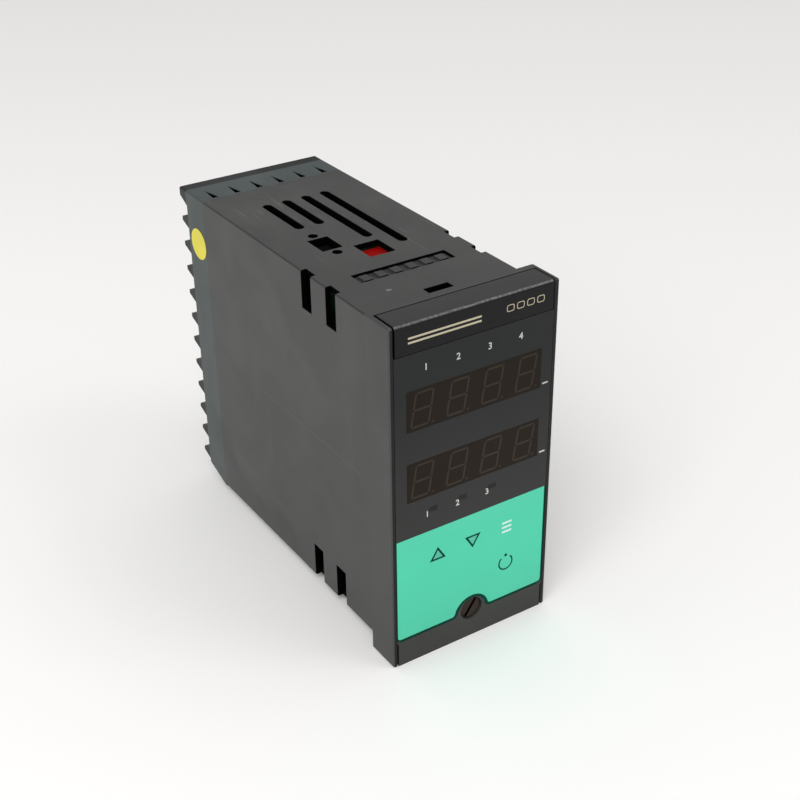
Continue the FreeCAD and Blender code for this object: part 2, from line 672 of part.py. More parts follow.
def terminal_block():
    body = new_body("rear_terminal_block")
    sketch = side_sketch(body, f"-{HALF_WIDTH}", "profile")
    outline(
        sketch,
        (
            (deep(BLOCK_FRONT), high(f"-{HALF_HEIGHT}")),
            (deep(f"{BLOCK_FRONT} + bevel_start"), high(f"-{HALF_HEIGHT}")),
            (deep(BLOCK_REAR), high(f"-{HALF_HEIGHT} + bevel_rise")),
            (deep(BLOCK_REAR), high(f"{HALF_HEIGHT} - tooth_height")),
            (deep("overall_depth"), high(f"{HALF_HEIGHT} - roof_tip")),
            (deep("overall_depth"), high(HALF_HEIGHT)),
            (deep(BLOCK_FRONT), high(HALF_HEIGHT)),
        ),
    )
    wall = pad(sketch, "sleeve_width", "wall")

    roof = number(high(HALF_HEIGHT))
    soften(
        wall,
        "Fillet",
        "Radius",
        "edge_radius",
        "roof_edges",
        lambda middle, direction: near(middle.z, roof) and abs(direction.y) > 0.9,
    )

    sketch = face_sketch(body, BLOCK_FRONT, "spigot")
    ring = f"({INNER_HALF} - fit_gap)"
    ring_height = f"({INNER_HEIGHT} - fit_gap)"
    centred(sketch, "0", high("0"), f"2 * {ring}", f"2 * {ring_height}")
    centred(
        sketch,
        "0",
        high("0"),
        f"2 * ({ring} - spigot_wall)",
        f"2 * ({ring_height} - spigot_wall)",
    )
    pad(sketch, "spigot_depth", "spigot")

    # One row of teeth; the roof's own wedge is the row above the first
    teeth = []
    for label, across in (
        ("left", f"-({HALF_WIDTH} - tooth_inset)"),
        ("right", f"({HALF_WIDTH} - tooth_inset - tooth_width)"),
    ):
        sketch = side_sketch(body, across, f"tooth_{label}")
        ledge = f"{HALF_HEIGHT} - row_pitch + tooth_rise"
        outline(
            sketch,
            (
                (deep(f"{BLOCK_REAR} - fit_gap"), high(f"{ledge} - tooth_height")),
                (deep(BLOCK_REAR), high(f"{ledge} - tooth_height")),
                (deep("overall_depth"), high(f"{ledge} - tooth_fall - tooth_tip")),
                (deep("overall_depth"), high(f"{ledge} - tooth_fall")),
                (deep(BLOCK_REAR), high(ledge)),
                (deep(f"{BLOCK_REAR} - fit_gap"), high(ledge)),
            ),
        )
        teeth.append(pad(sketch, "tooth_width", f"tooth_{label}"))
    repeat_rows(teeth, "teeth")

    # One row of wells, wire channels, screw holes and blade slots
    row = high(FIRST_ROW)
    sketch = face_sketch(body, BLOCK_REAR, "wells")
    for _, side in SIDES:
        circle(sketch, f"{side} * {WELL_MIDDLE}", row, "well_radius")
    wells = pocket(sketch, "well_depth", "wells", along=True)
    sketch = face_sketch(body, BLOCK_REAR, "channels")
    channel_half = "(channel_height / 2)"
    for _, side in SIDES:
        rectangle(
            sketch,
            f"{side} * ({BLADE_MIDDLE} - plate_thickness / 2 - fit_gap)",
            f"{side} * ({HALF_WIDTH} - channel_wall)",
            f"{row} - {channel_half}",
            f"{row} + {channel_half}",
        )
    channels = pocket(sketch, "well_depth", "channels", along=True)
    sketch = face_sketch(body, WELL_FLOOR, "screw_holes")
    for _, side in SIDES:
        circle(sketch, f"{side} * {WELL_MIDDLE}", row, "clamp_screw_radius + fit_gap / 2")
    holes = pocket(sketch, "2 * plate_thickness + fit_gap", "screw_holes", along=True)
    sketch = face_sketch(body, BLOCK_FRONT, "blade_slots")
    for _, side in SIDES:
        centred(
            sketch,
            f"{side} * {BLADE_MIDDLE}",
            row,
            "(plate_thickness + 2 * fit_gap)",
            "(blade_height + 2 * fit_gap)",
        )
    slots = pocket(sketch, f"{WELL_FLOOR} - {BLOCK_FRONT}", "blade_slots")
    repeat_rows([wells, channels, holes, slots], "rows")

    sketch = face_sketch(body, BLOCK_REAR, "rear_vent")
    reach = f"({HALF_HEIGHT} - rear_vent_margin - rear_vent_width / 2)"
    first = "-(rear_vent_count - 1) * notch_pitch / 2"
    round_slot(sketch, first, high(f"-{reach}"), high(reach), "rear_vent_width / 2")
    vent = pocket(sketch, "block_depth - tooth_depth", "rear_vent", along=True)
    span = "(rear_vent_count - 1) * notch_pitch"
    repeat([vent], "X_Axis", span, "rear_vent_count", "rear_vents")

    sketch = top_sketch(body, HALF_HEIGHT, "notch")
    first = "(-(notch_count - 1) * notch_pitch / 2)"
    blunt = deep(f"{BLOCK_FRONT} + notch_front")
    outline(
        sketch,
        (
            (f"{first} - notch_width / 2", blunt),
            (f"{first} + notch_width / 2", blunt),
            (f"{first} - notch_width / 4", deep(f"{BLOCK_FRONT} + notch_front + notch_length")),
        ),
    )
    notch = pocket(sketch, "notch_sink", "notch")
    repeat([notch], "X_Axis", "(notch_count - 1) * notch_pitch", "notch_count", "notches")


def sticker():
    """A plain round sticker on the left side of the block."""
    middle = f"{BLOCK_FRONT} + dot_radius + fit_gap"
    start = (f"-{HALF_WIDTH} - dot_thickness", deep(middle), high("dot_height"))
    keep(rod("yellow_dot", "x", start, "dot_thickness", "dot_radius"), "yellow_dot")


def terminals(label, side):
    """Contacts, washers and screws of one side of the block."""
    row = high(FIRST_ROW)
    screw = f"{side} * {WELL_MIDDLE}"

    body = new_body(f"{label}_terminal_contacts")
    sketch = face_sketch(body, WELL_FLOOR, "plate")
    rectangle(
        sketch,
        f"{side} * ({BLADE_MIDDLE} - plate_thickness / 2)",
        f"{side} * ({HALF_WIDTH} - plate_inset)",
        f"{row} - plate_height / 2",
        f"{row} + plate_height / 2",
    )
    plate = pad(sketch, "plate_thickness", "plate", against=True)
    sketch = face_sketch(body, WELL_FLOOR, "eye")
    circle(sketch, screw, row, "washer_radius")
    eye = pad(sketch, "plate_thickness", "eye", against=True)
    sketch = face_sketch(body, BLADE_TIP, "blade")
    centred(sketch, f"{side} * {BLADE_MIDDLE}", row, "plate_thickness", "blade_height")
    blade = pad(sketch, f"{WELL_FLOOR} - {BLADE_TIP}", "blade", against=True)
    sketch = face_sketch(body, WELL_FLOOR, "hole")
    circle(sketch, screw, row, "clamp_screw_radius + fit_gap")
    hole = pocket(sketch, "plate_thickness", "hole")
    repeat_rows([plate, eye, blade, hole], "rows")

    washer_front = f"({WELL_FLOOR} + plate_thickness)"
    body = new_body(f"{label}_clamp_washers")
    sketch = face_sketch(body, washer_front, "washer")
    circle(sketch, screw, row, "washer_radius")
    circle(sketch, screw, row, "clamp_screw_radius + fit_gap")
    washer = pad(sketch, "washer_thickness", "washer", against=True)
    repeat_rows([washer], "rows")

    head_front = f"({washer_front} + washer_thickness)"
    body = new_body(f"{label}_terminal_screws")
    sketch = face_sketch(body, head_front, "shank")
    circle(sketch, screw, row, "clamp_screw_radius")
    shank = pad(sketch, "3 * plate_thickness + washer_thickness", "shank")
    sketch = face_sketch(body, head_front, "head")
    circle(sketch, screw, row, "clamp_head_radius")
    head = pad(sketch, "clamp_head_height", "head", against=True)
    sketch = face_sketch(body, f"{head_front} + clamp_head_height", "slot")
    centred(sketch, screw, row, "clamp_slot_cut", "3 * clamp_head_radius")
    slot = pocket(sketch, "clamp_head_height / 2", "slot", along=True)
    repeat_rows([shank, head, slot], "rows")


# Front of the instrument


def name_cap():
    body = new_body("name_cap")
    sketch = face_sketch(body, "0", "outer")
    rectangle(sketch, f"-{CAP_HALF}", CAP_HALF, high(CAP_FOOT), high("front_height / 2"))
    outer = pad(sketch, TRAY_DEPTH, "outer", against=True)
    crown = number("front_height")
    front = number(deep("0"))
    soften(
        outer,
        "Chamfer",
        "Size",
        "cap_chamfer",
        "brow",
        lambda middle, direction: near(middle.z, crown) and near(middle.y, front),
    )
    sketch = face_sketch(body, TRAY_DEPTH, "hollow")
    inner = f"({CAP_HALF} - cap_wall)"
    rectangle(
        sketch,
        f"-{inner}",
        inner,
        high(f"{CAP_FOOT} - 1"),
        high("front_height / 2 - cap_wall"),
    )
    pocket(sketch, f"{TRAY_DEPTH} - cap_front_wall", "hollow", along=True)


def front_mask():
    """The moulded tray behind the film, with its windows, key holes, posts and screw boss."""
    body = new_body("front_mask")
    foot = "(-front_height / 2)"
    ankle = f"({foot} + foot_height)"
    sketch = face_sketch(body, "mask_step", "tray")
    outline(
        sketch,
        (
            (f"-{CAP_HALF}", high(foot)),
            (CAP_HALF, high(foot)),
            (CAP_HALF, high(ankle)),
            (MASK_HALF, high(ankle)),
            (MASK_HALF, high(MASK_HEAD)),
            (f"-{MASK_HALF}", high(MASK_HEAD)),
            (f"-{MASK_HALF}", high(ankle)),
            (f"-{CAP_HALF}", high(ankle)),
        ),
    )
    pad(sketch, f"{TRAY_DEPTH} - mask_step", "tray", against=True)
    sketch = face_sketch(body, TRAY_DEPTH, "hollow")
    inner = f"({CAP_HALF} - mask_wall)"
    rectangle(
        sketch,
        f"-{inner}",
        inner,
        high(f"{foot} + mask_wall"),
        high(f"{MASK_HEAD} - mask_wall"),
    )
    pocket(sketch, f"{TRAY_DEPTH} - mask_rear", "hollow", along=True)

    sketch = face_sketch(body, "mask_step", "film_bed")
    rectangle(
        sketch,
        f"-{BAY_HALF}",
        BAY_HALF,
        high("-film_foot"),
        high(f"{MASK_HEAD} + 1"),
    )
    pocket(sketch, "film_thickness", "film_bed")
    sketch = face_sketch(body, "mask_rear", "screw_boss")
    circle(sketch, "0", high("-screw_drop"), "screw_boss_radius")
    pad(sketch, "screw_boss_rear - mask_rear", "screw_boss", against=True)
    sketch = face_sketch(body, "mask_step + film_thickness", "arch")
    circle(sketch, "0", high("-screw_drop"), "arch_radius - fit_gap")
    pad(sketch, "film_thickness", "arch")

    sketch = face_sketch(body, "0", "openings")
    for _, middle in VIEWS:
        centred(sketch, "0", high(middle), f"2 * {VIEW_HALF}", "view_height")
    for _, across, up in KEYS:
        circle(sketch, across, high(up), "key_radius + move_gap")
    for across, up in lamp_places():
        centred(
            sketch,
            across,
            high(up),
            "(lamp_width + 2 * fit_gap)",
            "(lamp_height + 2 * fit_gap)",
        )
    pocket(sketch, "mask_rear + fit_gap", "openings")
    sketch = face_sketch(body, "0", "screw_hole")
    circle(sketch, "0", high("-screw_drop"), "screw_radius + shaft_gap")
    pocket(sketch, "screw_boss_rear + fit_gap", "screw_hole")
    sketch = face_sketch(body, "0", "counterbore")
    circle(sketch, "0", high("-screw_drop"), "screw_head_radius + move_gap")
    pocket(sketch, "screw_head_front + screw_head_height + fit_gap", "counterbore")

    sketch = face_sketch(body, "mask_rear", "posts")
    for across, up in POSTS:
        circle(sketch, across, high(up), "post_radius")
    pad(sketch, "display_board_front - mask_rear", "posts", against=True)
    sketch = face_sketch(body, "display_board_front", "pilots")
    for across, up in POSTS:
        circle(sketch, across, high(up), "pilot_radius")
    pocket(sketch, "board_screw_length - board_thickness", "pilots", along=True)

    # Two lugs that stand inside the name cap
    sketch = top_sketch(body, MASK_HEAD, "lugs")
    for _, side in SIDES:
        centred(
            sketch,
            f"{side} * {MASK_HALF} / 2",
            deep("cap_front_wall + fit_gap + cap_wall / 2"),
            "lug_width",
            "cap_wall",
        )
    pad(sketch, "cap_height - cap_wall - seam_gap", "lugs")


def lamp_places():
    """Four lamps above the upper window and three below the lower one."""
    for index in range(4):
        yield f"-lamp_left + {index} * lamp_pitch", "output_lamp_row"
    for index in range(3):
        yield f"-lamp_left + loop_lamp_shift + {index} * lamp_pitch", "-loop_lamp_row"


def front_film():
    body = new_body("front_film")
    edge = f"({MASK_HALF} - fit_gap / 2)"
    sketch = face_sketch(body, "mask_step", "sheet")
    rectangle(sketch, f"-{edge}", edge, high("-film_foot"), high(MASK_HEAD))
    for _, middle in VIEWS:
        centred(sketch, "0", high(middle), f"2 * {VIEW_HALF}", "view_height")
    pad(sketch, "film_thickness", "sheet", against=True)
    sketch = face_sketch(body, "mask_step", "arch")
    circle(sketch, "0", high("-screw_drop"), "arch_radius")
    arch = pocket(sketch, "film_thickness", "arch")

    lower = number(high("-film_foot"))
    outside = number(edge)

    def thin_edge(middle, direction):
        return near(middle.z, lower) and abs(direction.y) > 0.9

    lips = soften(
        arch,
        "Fillet",
        "Radius",
        "film_lip",
        "lips",
        lambda middle, direction: thin_edge(middle, direction) and abs(middle.x) < outside / 2,
    )
    soften(
        lips,
        "Fillet",
        "Radius",
        "film_corner",
        "corners",
        lambda middle, direction: thin_edge(middle, direction) and near(abs(middle.x), outside),
    )


def smoked_pane(label, middle):
    """A tinted pane whose edge catches behind the mask."""
    half = f"({VIEW_HALF} - fit_gap)"
    tall = "(view_height / 2 - fit_gap)"
    lip = "(filter_lip + fit_gap)"
    front = deep("mask_step + film_thickness")
    pane = block(
        f"{label}_pane",
        (f"-{half}", half),
        (front, deep("mask_rear")),
        (high(f"{middle} - {tall}"), high(f"{middle} + {tall}")),
    )
    edge = block(
        f"{label}_pane_edge",
        (f"-({half} + {lip})", f"{half} + {lip}"),
        (deep("mask_rear"), deep("mask_rear + filter_lip_depth")),
        (high(f"{middle} - {tall} - {lip}"), high(f"{middle} + {tall} + {lip}")),
    )
    keep(joined(f"{label}_filter", [pane, edge]), f"{label}_filter")


def display_module(label, middle):
    tall = "(view_height / 2 + display_border)"
    box = block(
        f"{label}_display",
        (f"-{DISPLAY_HALF}", DISPLAY_HALF),
        (deep("display_front"), deep("display_board_front")),
        (high(f"{middle} - {tall}"), high(f"{middle} + {tall}")),
    )
    keep(box, f"{label}_display")


def lamps():
    places = list(lamp_places())
    for label, group in (("output_lamps", places[:4]), ("loop_lamps", places[4:])):
        body = new_body(label)
        sketch = face_sketch(body, "lamp_front", "lamps")
        for across, up in group:
            centred(sketch, across, high(up), "lamp_width", "lamp_height")
        pad(sketch, "display_board_front - lamp_front", "lamps", against=True)


def key(label, across, up):
    """A round key with a collar behind the mask, and the switch stem behind it."""
    middle = high(up)
    face = rod(
        f"{label}_face", "y", (across, deep("key_front"), middle),
        "mask_rear + move_gap - key_front", "key_radius",
    )
    collar_front = "mask_rear + move_gap"
    collar = rod(
        f"{label}_collar", "y", (across, deep(collar_front), middle),
        "collar_thickness", "key_radius + key_collar",
    )
    keep(joined(f"{label}_key", [face, collar]), f"{label}_key")
    stem_front = f"{collar_front} + collar_thickness"
    stem = rod(
        f"{label}_stem", "y", (across, deep(stem_front), middle),
        f"stem_end - ({stem_front})", "stem_radius",
    )
    keep(stem, f"{label}_stem")


def key_switches():
    body = new_body("key_switches")
    sketch = face_sketch(body, "switch_front", "cases")
    for _, across, up in KEYS:
        centred(sketch, across, high(up), "switch_size", "switch_size")
    pad(sketch, "display_board_front - switch_front", "cases", against=True)
    sketch = face_sketch(body, "switch_front", "bores")
    for _, across, up in KEYS:
        circle(sketch, across, high(up), "stem_radius + fit_gap")
    pocket(sketch, "stem_end - switch_front + key_travel + move_gap", "bores")


def display_board():
    body = new_body("display_board")
    sketch = face_sketch(body, "display_board_front", "board")
    rectangle(
        sketch,
        f"-{DISPLAY_BOARD_HALF}",
        DISPLAY_BOARD_HALF,
        high(f"-{DISPLAY_BOARD_FOOT}"),
        high(DISPLAY_BOARD_HEAD),
    )
    for across, up in POSTS:
        circle(sketch, across, high(up), "pilot_radius + fit_gap")
    pad(sketch, "board_thickness", "board", against=True)

    body = new_body("board_screws")
    sketch = face_sketch(body, BOARD_FRONT, "shanks")
    for across, up in POSTS:
        circle(sketch, across, high(up), "pilot_radius")
    pad(sketch, "board_screw_length", "shanks")
    sketch = face_sketch(body, BOARD_FRONT, "heads")
    for across, up in POSTS:
        circle(sketch, across, high(up), "board_screw_head")
    pad(sketch, "board_screw_crown", "heads", against=True)


# Retaining screw, its clip and its threaded insert


def retaining_screw():
    body = new_body("retaining_screw")
    head_rear = "(screw_head_front + screw_head_height)"
    middle = high("-screw_drop")
    sketch = face_sketch(body, "screw_head_front", "head")
    circle(sketch, "0", middle, "screw_head_radius")
    pad(sketch, "screw_head_height", "head", against=True)
    sketch = face_sketch(body, head_rear, "shank")
    circle(sketch, "0", middle, "screw_radius")
    pad(sketch, f"screw_tip - {head_rear}", "shank", against=True)
    sketch = face_sketch(body, "screw_head_front", "slot")
    reach = "(2 * screw_head_radius)"
    half = "(screw_slot_width / 2)"
    angle = number("screw_slot_angle")
    lengthwise = FreeCAD.Rotation(FreeCAD.Vector(0, 0, 1), angle).multVec(FreeCAD.Vector(1, 0, 0))
    along_x, along_z = f"{lengthwise.x:.6f}", f"{lengthwise.y:.6f}"
    corners = []
    for long_side, wide_side in (("-1", "-1"), ("1", "-1"), ("1", "1"), ("-1", "1")):
        u = f"{long_side} * {reach} * {along_x} - {wide_side} * {half} * {along_z}"
        v = f"{long_side} * {reach} * {along_z} + {wide_side} * {half} * {along_x}"
        corners.append((u, f"{middle} + {v}"))
    outline(sketch, corners)
    pocket(sketch, "screw_slot_depth", "slot")

    clip_front = "screw_boss_rear + fit_gap"
    body = new_body("screw_clip")
    sketch = face_sketch(body, clip_front, "ring")
    circle(sketch, "0", middle, "clip_radius")
    circle(sketch, "0", middle, "screw_radius")
    pad(sketch, "clip_thickness", "ring", against=True)

    body = new_body("screw_insert")
    sketch = face_sketch(body, "boss_front", "tube")
    circle(sketch, "0", middle, "insert_radius")
    circle(sketch, "0", middle, "screw_radius + shaft_gap")
    pad(sketch, "insert_length", "tube", against=True)


# Boards and what they carry


def side_boards():
    half = f"({INNER_HEIGHT} - board_edge_gap)"
    for label, side in (("input_board", "-1"), ("power_board", "1")):
        middle = f"{side} * {BOARD_MIDDLE}"
        board = block(
            label,
            (f"{middle} - board_thickness / 2", f"{middle} + board_thickness / 2"),
            (deep(BOARD_FRONT), deep(BOARD_REAR)),
            (high(f"-{half}"), high(half)),
        )
        keep(board, label)


def against_board(side, thickness):
    """The X range of a part that stands off the inner face of a side board."""
    inner = f"({BOARD_INNER} - {thickness})"
    if side == "1":
        return inner, BOARD_INNER
    return f"-{BOARD_INNER}", f"-{inner}"


def headers_and_sockets():
    for label, side in SIDES:
        header = block(
            f"{label}_header",
            against_board(side, "header_size"),
            (deep(BOARD_FRONT), deep(f"{BOARD_FRONT} + header_size")),
            (high("-header_height / 2"), high("header_height / 2")),
        )
        keep(header, f"{label}_header")

        body = new_body(f"{label}_rear_socket")
        sketch = face_sketch(body, SOCKET_FRONT, "bar")
        low, top = against_board(side, "socket_width")
        last_row = f"{FIRST_ROW} - ({ROW_COUNT} - 1) * row_pitch"
        rectangle(
            sketch,
            low,
            top,
            high(f"{last_row} - socket_margin"),
            high(f"{FIRST_ROW} + socket_margin"),
        )
        pad(sketch, "socket_length", "bar", against=True)
        sketch = face_sketch(body, SOCKET_REAR, "slot")
        centred(
            sketch,
            f"{side} * {BLADE_MIDDLE}",
            high(FIRST_ROW),
            "(plate_thickness + 2 * socket_gap)",
            "(blade_height + 2 * socket_gap)",
        )
        slot = pocket(sketch, "blade_entry + socket_gap", "slot", along=True)
        repeat_rows([slot], "slots")


def option_board():
    floor = high("option_board_foot + option_board_thickness")
    board = block(
        "option_board",
        (f"-{BOARD_INNER}", BOARD_INNER),
        (deep("window_depth - option_board_lead"), deep("port_depth + option_board_tail")),
        (high("option_board_foot"), floor),
    )
    keep(board, "option_board")
    middle = "(window_depth + red_plug_back)"
    red = block(
        "service_plug",
        ("red_plug_aside - red_plug_width / 2", "red_plug_aside + red_plug_width / 2"),
        (deep(f"{middle} - red_plug_length / 2"), deep(f"{middle} + red_plug_length / 2")),
        (floor, high(PLUG_HEAD)),
    )
    keep(red, "service_plug")
    half = "(port_width / 2 - fit_gap)"
    port = block(
        "port_socket",
        (f"{PORT_MIDDLE} - {half}", f"{PORT_MIDDLE} + {half}"),
        (deep("port_depth - port_length / 2"), deep("port_depth + port_length / 2")),
        (floor, high(f"{PLUG_HEAD} - move_gap")),
    )
    keep(port, "port_socket")


def relays():
    front = f"({SOCKET_FRONT} - relay_space - relay_long)"
    for index in range(4):
        foot = f"(-relay_foot + {index} * relay_pitch)"
        relay = block(
            f"relay_{index + 1}",
            against_board("1", "relay_tall"),
            (deep(front), deep(f"{front} + relay_long")),
            (high(foot), high(f"{foot} + relay_wide")),
        )
        keep(relay, f"relay_{index + 1}")


def transformer():
    low, top = against_board("1", "core_tall")
    depths = (deep("core_front"), deep("core_front + core_size"))
    heights = (high("core_foot"), high("core_foot + core_size"))
    whole = block("core_block", (low, top), depths, heights)
    opening_x = (f"{low} + core_leg", f"{top} - core_leg")
    opening_z = (f"{heights[0]} + core_leg", f"{heights[1]} - core_leg")
    opening = block("core_opening", opening_x, (f"{depths[0]} - 1", f"{depths[1]} + 1"), opening_z)
    keep(cut("transformer_core", whole, opening), "transformer_core")
    coil_y = (f"{depths[0]} - coil_bulge", f"{depths[1]} + coil_bulge")
    keep(block("transformer_coil", opening_x, coil_y, opening_z), "transformer_coil")


def capacitors():
    for label, radius, length, up in (
        ("large_capacitor", "tall_can_radius", "tall_can_length", "-tall_can_drop"),
        ("small_capacitor", "small_can_radius", "small_can_length", "small_can_rise"),
    ):
        start = (f"{BOARD_INNER} - {length}", deep("can_depth"), high(up))
        keep(rod(label, "x", start, length, radius), label)


def chips():
    processor = block(
        "processor",
        against_board("-1", "chip_height"),
        (deep("chip_front"), deep("chip_front + chip_size")),
        (high("chip_foot"), high("chip_foot + chip_size")),
    )
    keep(processor, "processor")
    rear = f"({SOCKET_FRONT} - small_chip_space)"
    converter = block(
        "converter_chip",
        against_board("-1", "chip_height"),
        (deep(f"{rear} - small_chip_size"), deep(rear)),
        (high("-small_chip_size"), high("0")),
    )
    keep(converter, "converter_chip")
    spacer_front = f"({BOARD_REAR} - spacer_lead)"
    spacer = block(
        "board_spacer",
        (f"-{BOARD_INNER}", BOARD_INNER),
        (deep(spacer_front), deep(f"{spacer_front} + spacer_size")),
        (high("spacer_foot"), high("spacer_foot + spacer_size")),
    )
    keep(spacer, "board_spacer")


def build():
    housing()
    terminal_block()
    sticker()
    for label, side in SIDES:
        terminals(label, side)
    name_cap()
    front_mask()
    front_film()
    for label, middle in VIEWS:
        smoked_pane(label, middle)
        display_module(label, middle)
    lamps()
    for place in KEYS:
        key(*place)
    key_switches()
    display_board()
    retaining_screw()
    side_boards()
    headers_and_sockets()
    option_board()
    relays()
    transformer()
    capacitors()
    chips()
    doc.recompute()


def check():
    for thing in doc.Objects:
        if "Invalid" in thing.State or "Error" in thing.State:
            raise RuntimeError(f"{thing.Name} did not build: {thing.State}")
    for node in nodes:
        if node.Shape.isNull() or not node.Shape.isValid():
            raise RuntimeError(f"{node.Label} has no valid shape")


def write():
    os.makedirs("parts", exist_ok=True)
    for node in nodes:
        node.Shape.exportStep(f"parts/{node.Label}.step")
        solids = len(node.Shape.Solids)
        print(f"{node.Label}: {solids} solid(s), {node.Shape.Volume:.1f} mm3")


build()
check()
write()
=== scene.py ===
import json
import math

import bmesh
import bpy
from mathutils import Matrix, Vector


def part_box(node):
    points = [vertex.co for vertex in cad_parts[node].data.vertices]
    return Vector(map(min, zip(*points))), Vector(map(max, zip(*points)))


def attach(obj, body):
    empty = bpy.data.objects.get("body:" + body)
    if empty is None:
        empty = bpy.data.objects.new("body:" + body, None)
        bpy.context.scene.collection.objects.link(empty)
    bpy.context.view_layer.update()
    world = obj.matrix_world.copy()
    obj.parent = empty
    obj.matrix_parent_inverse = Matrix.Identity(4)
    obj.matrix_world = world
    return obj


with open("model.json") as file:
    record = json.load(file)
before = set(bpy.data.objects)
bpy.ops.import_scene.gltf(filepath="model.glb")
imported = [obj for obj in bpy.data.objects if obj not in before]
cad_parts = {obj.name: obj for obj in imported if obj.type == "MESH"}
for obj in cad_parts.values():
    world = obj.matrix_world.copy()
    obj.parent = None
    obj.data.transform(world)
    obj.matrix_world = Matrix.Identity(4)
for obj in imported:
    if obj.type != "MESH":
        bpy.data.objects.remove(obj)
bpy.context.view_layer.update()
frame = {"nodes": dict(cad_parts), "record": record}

# The looks of a panel controller: moulded sleeve, terminal block, printed front and the boards
# behind it. Metres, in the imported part's own frame: X right, Y to the rear, Z up. The small
# pieces' own sizes are written in millimetres, and MM turns them into metres.

MM = 0.001

CAP_LOW, CAP_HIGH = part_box("name_cap")
FILM_LOW, FILM_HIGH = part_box("front_film")
HOUSING_LOW, HOUSING_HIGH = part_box("housing")
BLOCK_LOW, BLOCK_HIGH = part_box("rear_terminal_block")
SCREW_LOW, SCREW_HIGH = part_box("retaining_screw")
LAMPS_LOW, LAMPS_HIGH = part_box("loop_lamps")

TOOTH_DEPTH = 4
FLANGE_DEPTH = 10
RECESS_BACK = 30.4
RECESS_HALF_WIDTH = 13.6
RECESS_HALF_LENGTH = 2.45
RECESS_DEPTH = 1.0

FRONT = HOUSING_LOW.y
MIDDLE = (HOUSING_HIGH.z + HOUSING_LOW.z) / 2
SCREW_MIDDLE = (SCREW_LOW.z + SCREW_HIGH.z) / 2
CAP_FACE = CAP_LOW.y
FILM_FACE = FILM_LOW.y
SLEEVE_HALF = BLOCK_HIGH.x
ROOF = BLOCK_HIGH.z
SLEEVE_FLOOR = BLOCK_LOW.z
BLOCK_FRONT = HOUSING_HIGH.y
BLOCK_WALL = BLOCK_HIGH.y - TOOTH_DEPTH * MM
FLANGE_REAR = FRONT + FLANGE_DEPTH * MM
RECESS_MIDDLE = FRONT + RECESS_BACK * MM


# Node-building help


def shader(name):
    """A new material with its node tree and its Principled shader."""
    material = bpy.data.materials.new(name)
    material.use_nodes = True
    tree = material.node_tree
    return material, tree, tree.nodes["Principled BSDF"]


def reopened(material):
    """A made material's node tree, its shader and the colour that it has so far."""
    tree = material.node_tree
    principled = tree.nodes["Principled BSDF"]
    return tree, principled, principled.inputs["Base Color"].links[0].from_socket


def feed(tree, sockets, key, value):
    """Links a socket to an input, or sets the input to a plain value."""
    if isinstance(value, bpy.types.NodeSocket):
        tree.links.new(value, sockets[key])
    else:
        sockets[key].default_value = value


def node(tree, kind, inputs=None, **settings):
    """Adds a node, sets its properties and fills or links its inputs."""
    made = tree.nodes.new(kind)
    for key, value in settings.items():
        setattr(made, key, value)
    for key, value in (inputs or {}).items():
        feed(tree, made.inputs, key, value)
    return made


def maths(tree, operation, first, second=0.0):
    return node(tree, "ShaderNodeMath", {0: first, 1: second}, operation=operation).outputs[0]


def product(tree, first, *others):
    for other in others:
        first = maths(tree, "MULTIPLY", first, other)
    return first


def blend_colour(tree, factor, first, second):
    made = node(tree, "ShaderNodeMix", {0: factor, 6: first, 7: second}, data_type="RGBA")
    return made.outputs[2]


def remap(tree, value, low, high, start=0.0, end=1.0):
    inputs = {"Value": value, "From Min": low, "From Max": high, "To Min": start, "To Max": end}
    return node(tree, "ShaderNodeMapRange", inputs).outputs[0]


def noise(tree, place, scale, detail=2.0, distortion=0.0):
    """Cloudy noise between 0 and 1."""
    inputs = {"Vector": place, "Scale": scale, "Detail": detail, "Distortion": distortion}
    return node(tree, "ShaderNodeTexNoise", inputs).outputs[0]


def place_of(tree):
    """The shaded point in the part's frame."""
    return node(tree, "ShaderNodeTexCoord").outputs["Object"]


def position(tree):
    """X, Y and Z of the shaded point in the part's frame."""
    return node(tree, "ShaderNodeSeparateXYZ", {0: place_of(tree)}).outputs


def facing(tree):
    """X, Y and Z of the way that the face looks."""
    way = node(tree, "ShaderNodeNewGeometry").outputs["True Normal"]
    return node(tree, "ShaderNodeSeparateXYZ", {0: way}).outputs


def group(name, inputs, outputs):
    """A shared effect: named numbers with their usual values go in, masks and heights come out."""
    tree = bpy.data.node_groups.new(name, "ShaderNodeTree")
    for socket, value in inputs.items():
        made = tree.interface.new_socket(socket, in_out="INPUT", socket_type="NodeSocketFloat")
        made.default_value = value
    for socket in outputs:
        tree.interface.new_socket(socket, in_out="OUTPUT", socket_type="NodeSocketFloat")
    return tree, tree.nodes.new("NodeGroupInput").outputs, tree.nodes.new("NodeGroupOutput").inputs


def use(tree, made_group, **inputs):
    """Places a shared effect in a material."""
    made = tree.nodes.new("ShaderNodeGroup")
    made.node_tree = made_group
    for key, value in inputs.items():
        feed(tree, made.inputs, key, value)
    return made.outputs


def shade(colour):
    return (*colour, 1.0)


def surface(tree, principled, tone, roughness, gloss=0.5, metallic=0.0):
    """Fills the shader's colour, roughness, metallic share and plain gloss."""
    feed(tree, principled.inputs, "Base Color", tone)
    feed(tree, principled.inputs, "Roughness", roughness)
    feed(tree, principled.inputs, "Metallic", metallic)
    principled.inputs["Specular IOR Level"].default_value = gloss


def relief(tree, principled, height, depth, strength=1.0):
    """Bumps the surface by a height of up to a depth in millimetres."""
    bump = node(tree, "ShaderNodeBump", {"Height": height, "Distance": depth * MM, "Strength": strength})
    tree.links.new(bump.outputs[0], principled.inputs["Normal"])


def paint(tree, principled, mask, tone, colour):
    """Gives the shader the tone, and another colour where the mask is 1."""
    tree.links.new(blend_colour(tree, mask, tone, colour), principled.inputs["Base Color"])


# Shared effects


